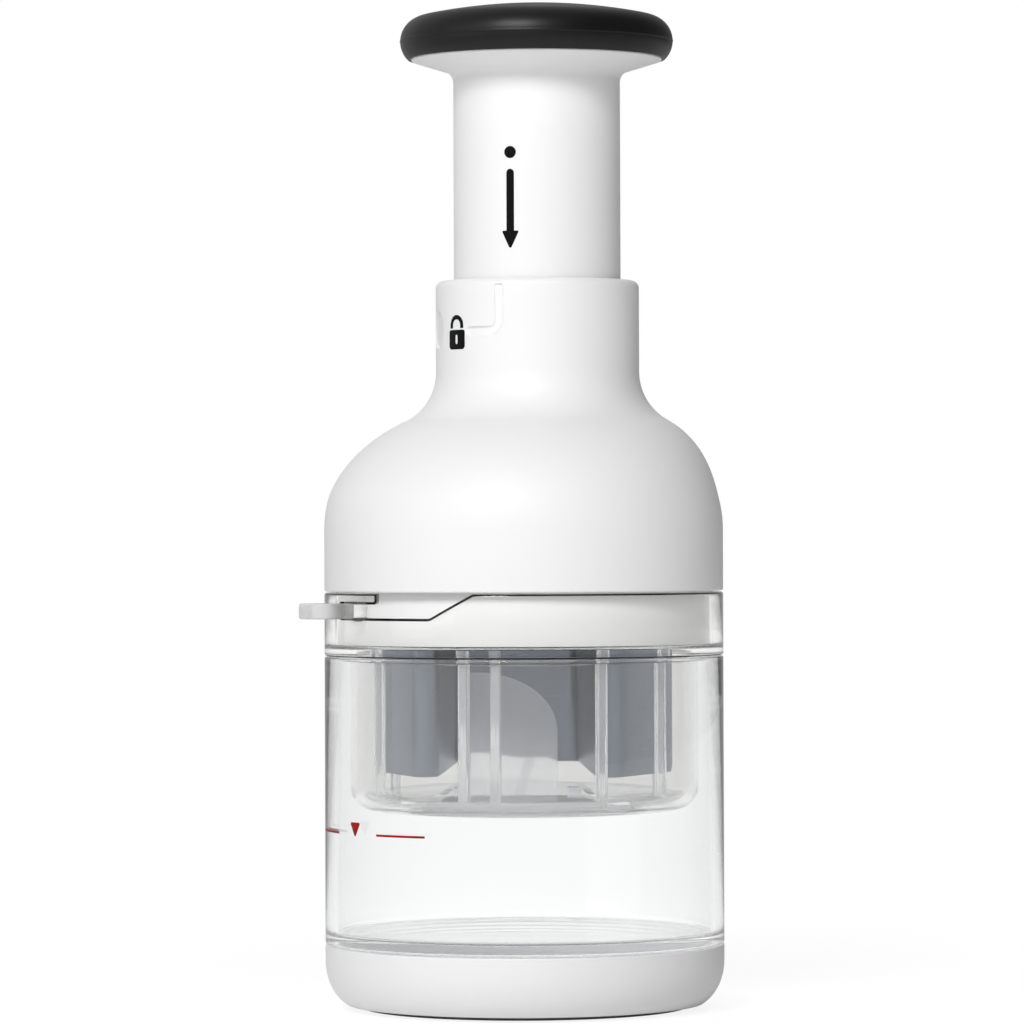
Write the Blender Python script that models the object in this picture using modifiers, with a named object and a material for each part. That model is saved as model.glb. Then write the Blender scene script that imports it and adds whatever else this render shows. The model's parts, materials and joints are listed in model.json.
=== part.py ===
"""Hand-pressed food chopper, in metres, +Z up.

The origin is the centre of the foot. The release tab faces -Y. The cup, guard and blades share the
Z axis; the plunger's axis stands a little behind it.
"""

from math import asin, atan, cos, degrees, pi, radians, sin, sqrt, tan

import bmesh
import bpy
from mathutils import Matrix, Vector

mm = 0.001

# Fits
GAP = 0.3 * mm  # between pieces that touch
RUN = 0.5 * mm  # round a piece that turns or slides loosely
OVERRUN = 2.0 * mm  # how far a cutter passes the face it cuts
SINK = 0.02 * mm  # keeps the faces of two joined or overlapping tools apart
AXIS_SIZE = 10 * mm  # drawn size of an axis empty

# Facets of turned pieces
LARGE_STEPS = 48
MEDIUM_STEPS = 40
SMALL_STEPS = 24
CLIP_STEPS = 16
BOSS_STEPS = 14
SCREW_STEPS = 12
BASE_FACETS = 7

# Base
BODY_RADIUS = 50.6 * mm  # outside of the cup, guard ring and body
BASE_HEIGHT = 16.05 * mm
BASE_WALL = 2.8 * mm
BASE_CURVE_WIDTH = 9.0 * mm
BASE_CURVE_HEIGHT = 12.0 * mm
BASE_FLOOR = 2.5 * mm
FOOT_RADIUS = 41.4 * mm
FOOT_DROP = 1.0 * mm  # how far the foot stands out below the base
FOOT_INSET = 0.8 * mm
FOOT_BEVEL = 0.3 * mm
SEAL_HEIGHT = 2.2 * mm

# Cup
CUP_WALL = 3.0 * mm
CUP_DEPTH = 70.0 * mm
CUP_FLOOR = 4.5 * mm
CUP_FLOOR_RISE = 2.55 * mm  # inside floor above the cup's outer lower edge
CUP_FILLET = 5.0 * mm
SPIGOT_WALL = 2.6 * mm
SPIGOT_DEPTH = 4.2 * mm
RIM_BEVEL = 0.4 * mm

# Blade guard
RING_WALL = 2.9 * mm
RING_HEIGHT = 16.0 * mm
FLANGE = 2.6 * mm
BOWL_CLEARANCE = 3.3 * mm  # bowl to cup wall
BOWL_WALL = 1.6 * mm
BOWL_DEPTH = 39.5 * mm
BOWL_CORNER = 6.0 * mm
BOWL_LAST_DEG = -78.0  # where the corner's arc meets the lip
BOWL_LIP = 1.6 * mm
CAGE_SEAT = 2.1 * mm  # bowl's wall to the cage disc, past the inner corner
BOWL_LIP_WIDTH = 2.3 * mm
LOCATING_LIP = 1.4 * mm

# Bayonet, angles counted from the tab
SLOT_HEIGHT = 4.2 * mm
SLOT_ROOF = 2.9 * mm
SLOT_END_CLEARANCE_DEG = 1.0
MOUTH_START_DEG = 11.9
RAMP_START_DEG = 33.0
RAMP_END_DEG = 46.0
TAB_NECK_WIDTH = 7.0 * mm
TAB_WIDTH = 10.6 * mm
TAB_COLLAR_WIDTH = 9.0 * mm
TAB_COLLAR_LENGTH = 3.4 * mm
TAB_REACH = 12.2 * mm
TAB_CORNER = 3.2 * mm
TAB_THINNING = 0.5 * mm  # the outer leaf against the neck, each face

# Body shell
SHELL_WALL = 2.0 * mm
BELL_STRAIGHT = 15.5 * mm
SHOULDER_RADIUS = 30.8 * mm
NECK_FILLET = 14.0 * mm
COLLAR_HEIGHT = 23.1 * mm
COLLAR_ROUND = 1.9 * mm
NECK_OFFSET = 4.25 * mm
LEAN_START = 7.6 * mm  # above the bell's straight part
LEAN_HEIGHT = 20.3 * mm
LEAN_POWER = 1.5
DIMPLE_RADIUS = 4.7 * mm
DIMPLE_DEPTH = 0.7 * mm
DIMPLE_DROP = 12.5 * mm  # centre below the collar's top
DIMPLE_DEG = -107.0
BOSS_RADIUS = 3.6 * mm
BOSS_HEIGHT = 9.5 * mm
BOSS_RIB = 2.4 * mm
BOSS_ROOF = 1.2 * mm  # over the blind bore

# Skirt frame
SKIRT_CLEARANCE = 0.4 * mm
SKIRT_WALL = 2.5 * mm
SKIRT_CHAMBER = 15.7 * mm  # skirt's lower edge to the plate's underside
PLATE = 3.2 * mm

# Frame screws
SCREW_INSET = 4.3 * mm  # screw axis to the skirt's inner wall
SCREW_SHANK = 1.4 * mm
SCREW_HEAD_RADIUS = 2.7 * mm
SCREW_HEAD = 1.6 * mm
SCREW_BITE = 6.5 * mm  # shank length in the boss
SCREW_START_DEG = 30.0
SCREW_COUNT = 3

# Plunger and its lock
STROKE = 39.4 * mm
PLUNGER_RADIUS = 21.2 * mm
PLUNGER_WALL = 2.5 * mm
PLUNGER_GRIP = 19.2 * mm  # tube length inside the collar at rest
PLUNGER_EXPOSED = 50.57 * mm  # collar's top to the start of the flare
FLARE_FILLET = 3.0 * mm
FLARE_RISE_DEG = 17.3
FLARE_RADIUS = 31.9 * mm
FLARE_PLATE = 2.6 * mm
LUG_WIDTH = 7.0 * mm
LUG_HEIGHT = 3.3 * mm
LUG_BITE = 0.9 * mm
LUG_DEG = -48.0
LEDGE = 3.0 * mm
SLEEVE_WALL = 0.85 * mm  # beside the wide bore
SLEEVE_FOOT = 2.5 * mm
SLEEVE_FOOT_RADIUS = 30.0 * mm
SLEEVE_HAUNCH_HEIGHT = 35.0 * mm
SLEEVE_HAUNCH = 1.6 * mm

# Push disc, nut, rod and spring
DISC_THICKNESS = 6.0 * mm
DISC_DEPTH = 12.3 * mm  # disc's underside below the flare's start
DISC_LEDGE = 1.5 * mm
ROD_SIDE = 8.0 * mm
ROD_SEGMENTS = 18
BLADE_TURN_DEG = 30.0  # over one stroke
JOURNAL_RADIUS = 3.2 * mm
CLIP_RADIUS = 6.2 * mm
CLIP_THICKNESS = 1.2 * mm
CLIP_MOUTH = 4.4 * mm
GROOVE_DEPTH = 0.7 * mm
NUT_FLANGE_RADIUS = 11.0 * mm
NUT_FLANGE = 2.0 * mm
NUT_BODY_RADIUS = 7.5 * mm
NUT_CLEARANCE = 0.4 * mm
SPRING_RADIUS = 9.4 * mm
SPRING_WIRE = 1.6 * mm
SPRING_TURNS = 11
SPRING_DEAD_TURNS = 1
SPRING_TURN_POINTS = 10

# Knob
CORE_INSET = 2.9 * mm  # flare's rim to the core's side
CORE_HEIGHT = 6.2 * mm
CORE_SPIGOT_WALL = 3.0 * mm
KNOB_SCREW_INSET = 4.0 * mm  # core's side to the screw's axis
KNOB_SCREW_BITE = 2.2 * mm
KNOB_SCREW_COUNT = 3
GRIP_OVERHANG = 2.8 * mm  # grip past the flare's rim
GRIP_EDGE = 6.4 * mm
GRIP_DOME = 144.0 * mm
GRIP_LOWER_DEG = 46.0
GRIP_EDGE_RISE = 4.9 * mm  # edge's centre above the flare's rim

# Blades, hub and cage; their plan is drawn in a frame turned about Z
PLAN_TURN_DEG = 60.5
BLADE_THICKNESS = 1.0 * mm
BLADE_CORNERS_DEG = (180.0, 233.7, 118.7, 67.0, -60.6, -4.6)
BLADE_BEND = 3.0 * mm
BLADE_FLOOR_CLEARANCE = 0.5 * mm  # edge above the cup floor at full stroke
HUB_BAR = 4.4 * mm
HUB_BAR_HEIGHT = 6.4 * mm
HUB_GRIP = 4.6 * mm  # blade height inside the hub
HUB_BOSS_RADIUS = 8.5 * mm
HUB_BOSS_HEIGHT = 11.0 * mm
HUB_ARM = 7.0 * mm
THREAD_RADIUS = 3.0 * mm
HEX_RADIUS = 5.4 * mm
HEX_HEIGHT = 4.2 * mm
CAGE_DISC = 2.0 * mm
CAGE_CLEARANCE = 0.7 * mm  # hub above the cage disc at full stroke
CAGE_RIM = 2.4 * mm
POST_DEPTH = 2.0 * mm
POST_WIDTH = 2.6 * mm
POSTS_DEG = (-153.0, -111.5, -100.0, -62.0, -33.5, 27.0, 92.0, 150.0)
CAGE_FLANGE = 3.2 * mm
CAGE_FLANGE_REACH = 3.2 * mm
FIN_LEFT = -16.0 * mm
FIN_RIGHT = 8.3 * mm
FIN_FRONT = 12.0 * mm
FIN_THICKNESS = 1.5 * mm
FIN_HEIGHT = 29.8 * mm
FIN_EDGE = 2.6 * mm
FIN_ARCH_WIDTH = 20.0 * mm
FIN_ARCH_HEIGHT = 14.3 * mm
UPSTAND_HEIGHT = 2.4 * mm
UPSTAND_WIDTH = 3.4 * mm
UPSTAND_DEPTH = 5.0 * mm
UPSTAND_FRONT = 14.0 * mm
RETAINER_HEIGHT = 2.3 * mm

# Heights, from the foot up
base_bottom = FOOT_DROP
base_top = BASE_HEIGHT
base_inner = BODY_RADIUS - BASE_WALL
base_inner_floor = base_bottom + FOOT_INSET + BASE_FLOOR
cup_edge = base_top + GAP
cup_floor = cup_edge + CUP_FLOOR_RISE
cup_inner = BODY_RADIUS - CUP_WALL
spigot_bottom = cup_edge - SPIGOT_DEPTH
seal_ledge = spigot_bottom - GAP - SEAL_HEIGHT - GAP
cup_rim = cup_floor + CUP_DEPTH
guard_bottom = cup_rim + GAP
ring_top = guard_bottom + RING_HEIGHT
bowl_radius = cup_inner - BOWL_CLEARANCE
bowl_inner = bowl_radius - BOWL_WALL
bowl_bottom = guard_bottom - BOWL_DEPTH
cage_bottom = bowl_bottom + BOWL_LIP + GAP
cage_top = cage_bottom + CAGE_DISC
cage_radius = bowl_inner - CAGE_SEAT
blade_reach = cage_radius - CAGE_RIM - RUN - BLADE_THICKNESS / 2
skirt_radius = BODY_RADIUS - RING_WALL - SKIRT_CLEARANCE
skirt_inner = skirt_radius - SKIRT_WALL
skirt_bottom = guard_bottom + FLANGE + GAP
plate_bottom = skirt_bottom + SKIRT_CHAMBER
plate_top = plate_bottom + PLATE
screw_circle = skirt_inner - SCREW_INSET
shell_bottom = ring_top + GAP
bell_top = shell_bottom + BELL_STRAIGHT
lean_bottom = bell_top + LEAN_START
shoulder_centre = BODY_RADIUS - SHOULDER_RADIUS
guide_radius = PLUNGER_RADIUS + GAP
lug_radius = guide_radius + LUG_BITE
wide_bore = lug_radius + GAP
sleeve_radius = wide_bore + SLEEVE_WALL
collar_inner = sleeve_radius + GAP
collar_radius = collar_inner + SHELL_WALL
fillet_centre = collar_radius + NECK_FILLET
fillet_height = bell_top + sqrt((SHOULDER_RADIUS + NECK_FILLET) ** 2 - (fillet_centre - shoulder_centre) ** 2)
collar_top = fillet_height + COLLAR_HEIGHT
sleeve_top = collar_top - SHELL_WALL - GAP
tube_bottom = collar_top - PLUNGER_GRIP
lug_top = tube_bottom + LUG_HEIGHT
stop_shoulder = lug_top + GAP
ledge_bottom = lug_top - STROKE + GAP
flare_start = collar_top + PLUNGER_EXPOSED
flare_bend_height = flare_start + FLARE_FILLET * cos(radians(FLARE_RISE_DEG))
flare_bend_radius = PLUNGER_RADIUS + FLARE_FILLET * (1 - sin(radians(FLARE_RISE_DEG)))
flare_rim = flare_bend_height + (FLARE_RADIUS - flare_bend_radius) * tan(radians(FLARE_RISE_DEG))
flare_top = flare_rim + FLARE_PLATE
tube_inner = PLUNGER_RADIUS - PLUNGER_WALL
disc_bottom = flare_start - DISC_DEPTH
disc_top = disc_bottom + DISC_THICKNESS
core_radius = FLARE_RADIUS - CORE_INSET
knob_screw_circle = core_radius - KNOB_SCREW_INSET
core_bottom = flare_top + GAP
core_top = core_bottom + CORE_HEIGHT
grip_centre_height = flare_rim + GRIP_EDGE_RISE
grip_radius = FLARE_RADIUS + GRIP_OVERHANG
grip_edge_centre = grip_radius - GRIP_EDGE
dome_drop = sqrt((GRIP_DOME - GRIP_EDGE) ** 2 - grip_edge_centre**2)
grip_top = grip_centre_height - dome_drop + GRIP_DOME
nut_top = plate_top + GAP + NUT_FLANGE
hub_bottom = cage_top + STROKE + CAGE_CLEARANCE
hub_bar_top = hub_bottom + HUB_BAR_HEIGHT
hub_boss_top = hub_bottom + HUB_BOSS_HEIGHT
blade_bottom = cup_floor + STROKE + BLADE_FLOOR_CLEARANCE
blade_top = hub_bottom + HUB_GRIP
shoulder_height = hub_boss_top + GAP
cage_flange_top = plate_bottom - GAP
cage_flange_bottom = cage_flange_top - CAGE_FLANGE
post_inner = blade_reach + BLADE_THICKNESS / 2 + RUN + GAP
post_outer = post_inner + POST_DEPTH
retainer_top = cage_flange_bottom - GAP
screw_head_bottom = plate_bottom + GAP / 3
slot_top = ring_top - SLOT_ROOF
slot_bottom = slot_top - SLOT_HEIGHT
tab_angle = radians(-90)
twist_rate = radians(BLADE_TURN_DEG) / STROKE  # radians a metre of travel

# Colours
WHITE = (0.88, 0.88, 0.88)
SOFT_BLACK = (0.012, 0.012, 0.013)
CLEAR = (0.93, 0.95, 0.96)
STEEL = (0.62, 0.64, 0.67)
GREY = (0.35, 0.36, 0.38)
NATURAL = (0.80, 0.79, 0.74)


def clear_scene():
    for item in list(bpy.data.objects):
        bpy.data.objects.remove(item, do_unlink=True)


def collection(name, hidden=False):
    made = bpy.data.collections.new(name)
    bpy.context.scene.collection.children.link(made)
    made.hide_render = hidden
    return made


def material(name, colour, roughness, metallic=0.0, alpha=1.0):
    made = bpy.data.materials.new(name)
    made.use_nodes = True
    shader = made.node_tree.nodes["Principled BSDF"]
    shader.inputs["Base Color"].default_value = (*colour, 1.0)
    shader.inputs["Roughness"].default_value = roughness
    shader.inputs["Metallic"].default_value = metallic
    shader.inputs["Alpha"].default_value = alpha
    made.diffuse_color = (*colour, alpha)
    return made


def axis_empty(name, parent=None, location=(0, 0, 0)):
    empty = bpy.data.objects.new(name, None)
    empty.empty_display_size = AXIS_SIZE
    empty.location = location
    empty.parent = parent
    parts.objects.link(empty)
    return empty


def mesh_object(name, mesh, finish=None, parent=None):
    """A mesh as a piece of the chopper or, with no finish, as a helper for a Boolean."""
    made = bpy.data.objects.new(name, mesh)
    made.parent = parent
    if finish:
        mesh.materials.append(finish)
        parts.objects.link(made)
    else:
        helpers.objects.link(made)
        made.hide_render = True
        made.display_type = "WIRE"
    return made


def parented(item, parent):
    item.parent = parent
    return item


def finish_mesh(mesh):
    mesh.shade_smooth()
    mesh.set_sharp_from_angle(angle=radians(35))
    return mesh


def turned(name, profile, steps, finish=None, parent=None):
    """A ring or disc from a profile of (radius, height) that runs down the outer side."""
    mesh = bpy.data.meshes.new(name)
    corners = [(radius, 0, height) for radius, height in profile]
    sides = [(i, i + 1) for i in range(len(corners) - 1)]
    if profile[0][0] > 0 or profile[-1][0] > 0:
        sides.append((len(corners) - 1, 0))
    mesh.from_pydata(corners, sides, [])
    made = mesh_object(name, mesh, finish, parent)
    screw = made.modifiers.new("Turn", "SCREW")
    screw.steps = screw.render_steps = steps
    screw.use_merge_vertices = True
    screw.merge_threshold = 0.00001
    screw.use_smooth_shade = True
    return made


def stepped_pin(name, lower_radius, upper_radius, bottom, step, top, at, finish=None, parent=None):
    """A round pin or hole of two radii, one above the other, standing at a place in the plan."""
    profile = [
        (0, top),
        (upper_radius, top),
        (upper_radius, step),
        (lower_radius, step),
        (lower_radius, bottom),
        (0, bottom),
    ]
    pin = turned(name, profile, SCREW_STEPS, finish, parent)
    pin.location.x, pin.location.y = at
    return pin


def cylinder(name, radius, bottom, top, steps, at=(0, 0), finish=None, parent=None):
    shape = bmesh.new()
    bmesh.ops.create_cone(
        shape, cap_ends=True, segments=steps, radius1=radius, radius2=radius, depth=top - bottom
    )
    bmesh.ops.translate(shape, verts=shape.verts, vec=(at[0], at[1], (top + bottom) / 2))
    mesh = bpy.data.meshes.new(name)
    shape.to_mesh(mesh)
    shape.free()
    return mesh_object(name, finish_mesh(mesh), finish, parent)


def box(name, low, high, angle=0.0, finish=None, parent=None, bevel=0.0):
    """A box between two corners, turned by an angle about Z."""
    shape = bmesh.new()
    bmesh.ops.create_cube(shape, size=1.0)
    size = [b - a for a, b in zip(low, high)]
    centre = [(a + b) / 2 for a, b in zip(low, high)]
    bmesh.ops.scale(shape, verts=shape.verts, vec=size)
    bmesh.ops.translate(shape, verts=shape.verts, vec=centre)
    bmesh.ops.rotate(shape, verts=shape.verts, cent=(0, 0, 0), matrix=Matrix.Rotation(angle, 3, "Z"))
    mesh = bpy.data.meshes.new(name)
    shape.to_mesh(mesh)
    shape.free()
    made = mesh_object(name, mesh, finish, parent)
    if bevel:
        edge = made.modifiers.new("Edge", "BEVEL")
        edge.width = bevel
        edge.segments = 2
    return made


def combine(target, tool, operation):
    step = target.modifiers.new(tool.name, "BOOLEAN")
    step.operation = operation
    step.object = tool
    step.solver = "EXACT"


def cut(target, tool):
    combine(target, tool, "DIFFERENCE")


def join(target, tool):
    combine(target, tool, "UNION")


def arc(centre_radius, centre_height, radius, start_deg, end_deg, count):
    """Points of an arc in a turned profile."""
    steps = [start_deg + (end_deg - start_deg) * i / count for i in range(count + 1)]
    return [
        (centre_radius + radius * cos(radians(a)), centre_height + radius * sin(radians(a)))
        for a in steps
    ]


def rounded_path(points, radius, count):
    """A plan path whose inner corners are arcs of the given radius."""
    path = [Vector(points[0])]
    for before, corner, after in zip(points, points[1:], points[2:]):
        corner = Vector(corner)
        back = (Vector(before) - corner).normalized()
        ahead = (Vector(after) - corner).normalized()
        half = back.angle(ahead) / 2
        centre = corner + (back + ahead).normalized() * radius / sin(half)
        start = corner + back * radius / tan(half) - centre
        sweep = pi - 2 * half
        if back.cross(ahead) > 0:
            sweep = -sweep
        for i in range(count + 1):
            path.append(centre + Matrix.Rotation(sweep * i / count, 2) @ start)
    path.append(Vector(points[-1]))
    return path


def ribbon(name, path, thickness, bottom, top, finish=None, parent=None):
    """An upright strip along a plan path, thickened evenly to both sides."""
    shape = bmesh.new()
    row = [shape.verts.new((point.x, point.y, bottom)) for point in path]
    edges = [shape.edges.new(pair) for pair in zip(row, row[1:])]
    raised = bmesh.ops.extrude_edge_only(shape, edges=edges)["geom"]
    lifted = [item for item in raised if isinstance(item, bmesh.types.BMVert)]
    bmesh.ops.translate(shape, verts=lifted, vec=(0, 0, top - bottom))
    mesh = bpy.data.meshes.new(name)
    shape.to_mesh(mesh)
    shape.free()
    made = mesh_object(name, mesh, finish, parent)
    thick = made.modifiers.new("Thickness", "SOLIDIFY")
    thick.thickness = thickness
    thick.offset = 0
    thick.use_even_offset = True
    return made


def longer(path, extra):
    """The path with both ends run on by a length."""
    first = path[0] + (path[0] - path[1]).normalized() * extra
    last = path[-1] + (path[-1] - path[-2]).normalized() * extra
    return [first, *path[1:-1], last]


def sector(name, sections, inner, outer):
    """A block round part of a ring, lofted through (angle, low, high) sections."""
    shape = bmesh.new()
    rings = []
    for angle, low, high in sections:
        corners = [(inner, low), (outer, low), (outer, high), (inner, high)]
        rings.append(
            [shape.verts.new((r * cos(angle), r * sin(angle), z)) for r, z in corners]
        )
    for one, two in zip(rings, rings[1:]):
        for i in range(4):
            shape.faces.new((one[i], one[(i + 1) % 4], two[(i + 1) % 4], two[i]))
    shape.faces.new(rings[0])
    shape.faces.new(rings[-1])
    bmesh.ops.recalc_face_normals(shape, faces=shape.faces)
    mesh = bpy.data.meshes.new(name)
    shape.to_mesh(mesh)
    shape.free()
    return mesh_object(name, mesh)


def outline_prism(name, points, height, finish=None, parent=None):
    """A flat outline, drawn in XY, with the height as its extrusion, made a mesh."""
    curve = bpy.data.curves.new(name, "CURVE")
    curve.dimensions = "2D"
    curve.fill_mode = "BOTH"
    curve.extrude = height / 2
    line = curve.splines.new("POLY")
    line.points.add(len(points) - 1)
    for point, (x, y) in zip(line.points, points):
        point.co = (x, y, 0, 1)
    line.use_cyclic_u = True
    drawn = bpy.data.objects.new(name + "_outline", curve)
    bpy.context.scene.collection.objects.link(drawn)
    mesh = evaluated_mesh(drawn, name)
    bpy.data.objects.remove(drawn, do_unlink=True)
    return mesh_object(name, mesh, finish, parent)


def evaluated_mesh(item, name):
    """The object's shape as a mesh of its own, with loose caps welded."""
    bpy.context.view_layer.update()
    graph = bpy.context.evaluated_depsgraph_get()
    mesh = bpy.data.meshes.new_from_object(item.evaluated_get(graph))
    mesh.name = name
    shape = bmesh.new()
    shape.from_mesh(mesh)
    bmesh.ops.remove_doubles(shape, verts=shape.verts, dist=0.000001)
    shape.to_mesh(mesh)
    shape.free()
    return mesh


def make_base():
    """White cap under the cup, its seal and the foot set into its underside."""
    curve_centre = BODY_RADIUS - BASE_CURVE_WIDTH
    outer = [(BODY_RADIUS, base_top)]
    sweep = asin((BASE_CURVE_HEIGHT - base_bottom) / BASE_CURVE_HEIGHT)
    for i in range(BASE_FACETS + 1):
        angle = -sweep * i / BASE_FACETS
        outer.append(
            (
                curve_centre + BASE_CURVE_WIDTH * cos(angle),
                BASE_CURVE_HEIGHT + BASE_CURVE_HEIGHT * sin(angle),
            )
        )
    foot_recess = FOOT_RADIUS + GAP
    profile = [
        *outer,
        (foot_recess, base_bottom),
        (foot_recess, base_bottom + FOOT_INSET),
        (0, base_bottom + FOOT_INSET),
        (0, base_inner_floor),
        (base_inner - SPIGOT_WALL, base_inner_floor),
        (base_inner - SPIGOT_WALL, seal_ledge),
        (base_inner, seal_ledge),
        (base_inner, base_top),
    ]
    inner_start = profile.index((0, base_inner_floor))
    lower = profile[:inner_start]
    upper = profile[inner_start:]
    turned("base_shell", upper + lower, LARGE_STEPS, white, base_axis)
    foot_top = base_bottom + FOOT_INSET - GAP
    turned(
        "non_slip_foot",
        [
            (0, foot_top),
            (FOOT_RADIUS, foot_top),
            (FOOT_RADIUS, FOOT_BEVEL),
            (FOOT_RADIUS - FOOT_BEVEL, 0),
            (0, 0),
        ],
        MEDIUM_STEPS,
        dark_rubber,
        base_axis,
    )
    seal_outer = base_inner - GAP
    seal_inner = seal_outer - SPIGOT_WALL + GAP
    low = seal_ledge + GAP
    high = low + SEAL_HEIGHT
    turned(
        "base_seal",
        [(seal_inner, high), (seal_outer, high), (seal_outer, low), (seal_inner, low)],
        MEDIUM_STEPS,
        seal_grey,
        base_axis,
    )


def make_cup():
    """Clear cup: wall, thick floor with a fillet, and a spigot that seats in the base."""
    spigot_radius = base_inner - GAP
    fillet = arc(cup_inner - CUP_FILLET, cup_floor + CUP_FILLET, CUP_FILLET, -90, 0, 4)
    profile = [
        (0, cup_floor),
        *fillet,
        (cup_inner, cup_rim - RIM_BEVEL),
        (cup_inner + RIM_BEVEL, cup_rim),
        (BODY_RADIUS - RIM_BEVEL, cup_rim),
        (BODY_RADIUS, cup_rim - RIM_BEVEL),
        (BODY_RADIUS, cup_edge + RIM_BEVEL),
        (BODY_RADIUS - RIM_BEVEL, cup_edge),
        (spigot_radius, cup_edge),
        (spigot_radius, spigot_bottom),
        (spigot_radius - SPIGOT_WALL, spigot_bottom),
        (spigot_radius - SPIGOT_WALL, cup_floor - CUP_FLOOR),
        (0, cup_floor - CUP_FLOOR),
    ]
    turned("cup", profile, LARGE_STEPS, clear, cup_axis)


def make_guard():
    """Clear ring with the bayonet slot, flange, and the bowl that holds the cage."""
    corner_radius = bowl_radius - BOWL_CORNER
    corner_height = bowl_bottom + BOWL_CORNER
    inner_corner = BOWL_CORNER - BOWL_WALL
    seat = cage_radius + GAP
    seat_rise = sqrt(inner_corner**2 - (seat - corner_radius) ** 2)
    seat_deg = degrees(atan(seat_rise / (seat - corner_radius)))
    lip_inner = cage_radius - BOWL_LIP_WIDTH
    ring_inner = BODY_RADIUS - RING_WALL
    profile = [
        (ring_inner + RIM_BEVEL, ring_top),
        (BODY_RADIUS - RIM_BEVEL, ring_top),
        (BODY_RADIUS, ring_top - RIM_BEVEL),
        (BODY_RADIUS, guard_bottom + RIM_BEVEL),
        (BODY_RADIUS - RIM_BEVEL, guard_bottom),
        (cup_inner - GAP, guard_bottom),
        (cup_inner - GAP, guard_bottom - LOCATING_LIP),
        (bowl_radius, guard_bottom - LOCATING_LIP),
        *arc(corner_radius, corner_height, BOWL_CORNER, 0, BOWL_LAST_DEG, 4),
        (lip_inner, bowl_bottom),
        (lip_inner, bowl_bottom + BOWL_LIP),
        (seat, bowl_bottom + BOWL_LIP),
        *arc(corner_radius, corner_height, inner_corner, -seat_deg, 0, 2),
        (bowl_inner, guard_bottom + FLANGE),
        (ring_inner, guard_bottom + FLANGE),
        (ring_inner, ring_top - RIM_BEVEL),
    ]
    guard = turned("blade_guard", profile, LARGE_STEPS, clear, guard_axis)
    through = (ring_inner - OVERRUN, BODY_RADIUS + OVERRUN)
    neck_half = degrees(TAB_NECK_WIDTH / 2 / ring_inner)
    slot_end = neck_half + SLOT_END_CLEARANCE_DEG
    pieces = 8
    channel = []
    for i in range(pieces + 1):
        turn = -slot_end + (slot_end + RAMP_START_DEG) * i / pieces
        channel.append((tab_angle + radians(turn), slot_bottom, slot_top))
    cut(guard, parented(sector("slot_channel", channel, *through), guard_axis))
    mouth = []
    for i in range(pieces + 1):
        turn = MOUTH_START_DEG + (RAMP_END_DEG - MOUTH_START_DEG) * i / pieces
        ramp = max(0.0, (turn - RAMP_START_DEG) / (RAMP_END_DEG - RAMP_START_DEG))
        low = slot_bottom + SINK + ramp * (ring_top - slot_bottom)
        mouth.append((tab_angle + radians(turn), low, ring_top + OVERRUN))
    cut(guard, parented(sector("slot_mouth", mouth, *through), guard_axis))


def bell_profile(inset, lowest, highest, fillet_facets, shoulder_facets):
    """Bell and collar from the top down, moved inwards by an inset."""
    tangent_deg = degrees(atan((fillet_height - bell_top) / (fillet_centre - shoulder_centre)))
    return [
        (collar_radius - inset, highest),
        *arc(fillet_centre, fillet_height, NECK_FILLET + inset, 180, 180 + tangent_deg, fillet_facets),
        *arc(shoulder_centre, bell_top, SHOULDER_RADIUS - inset, tangent_deg, 0, shoulder_facets)[1:],
        (BODY_RADIUS - inset, lowest),
    ]


def lean(height):
    """How far the shell's section at a height stands behind the cup's axis."""
    share = min(1.0, max(0.0, (height - lean_bottom) / LEAN_HEIGHT))
    return NECK_OFFSET * share**LEAN_POWER


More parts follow.
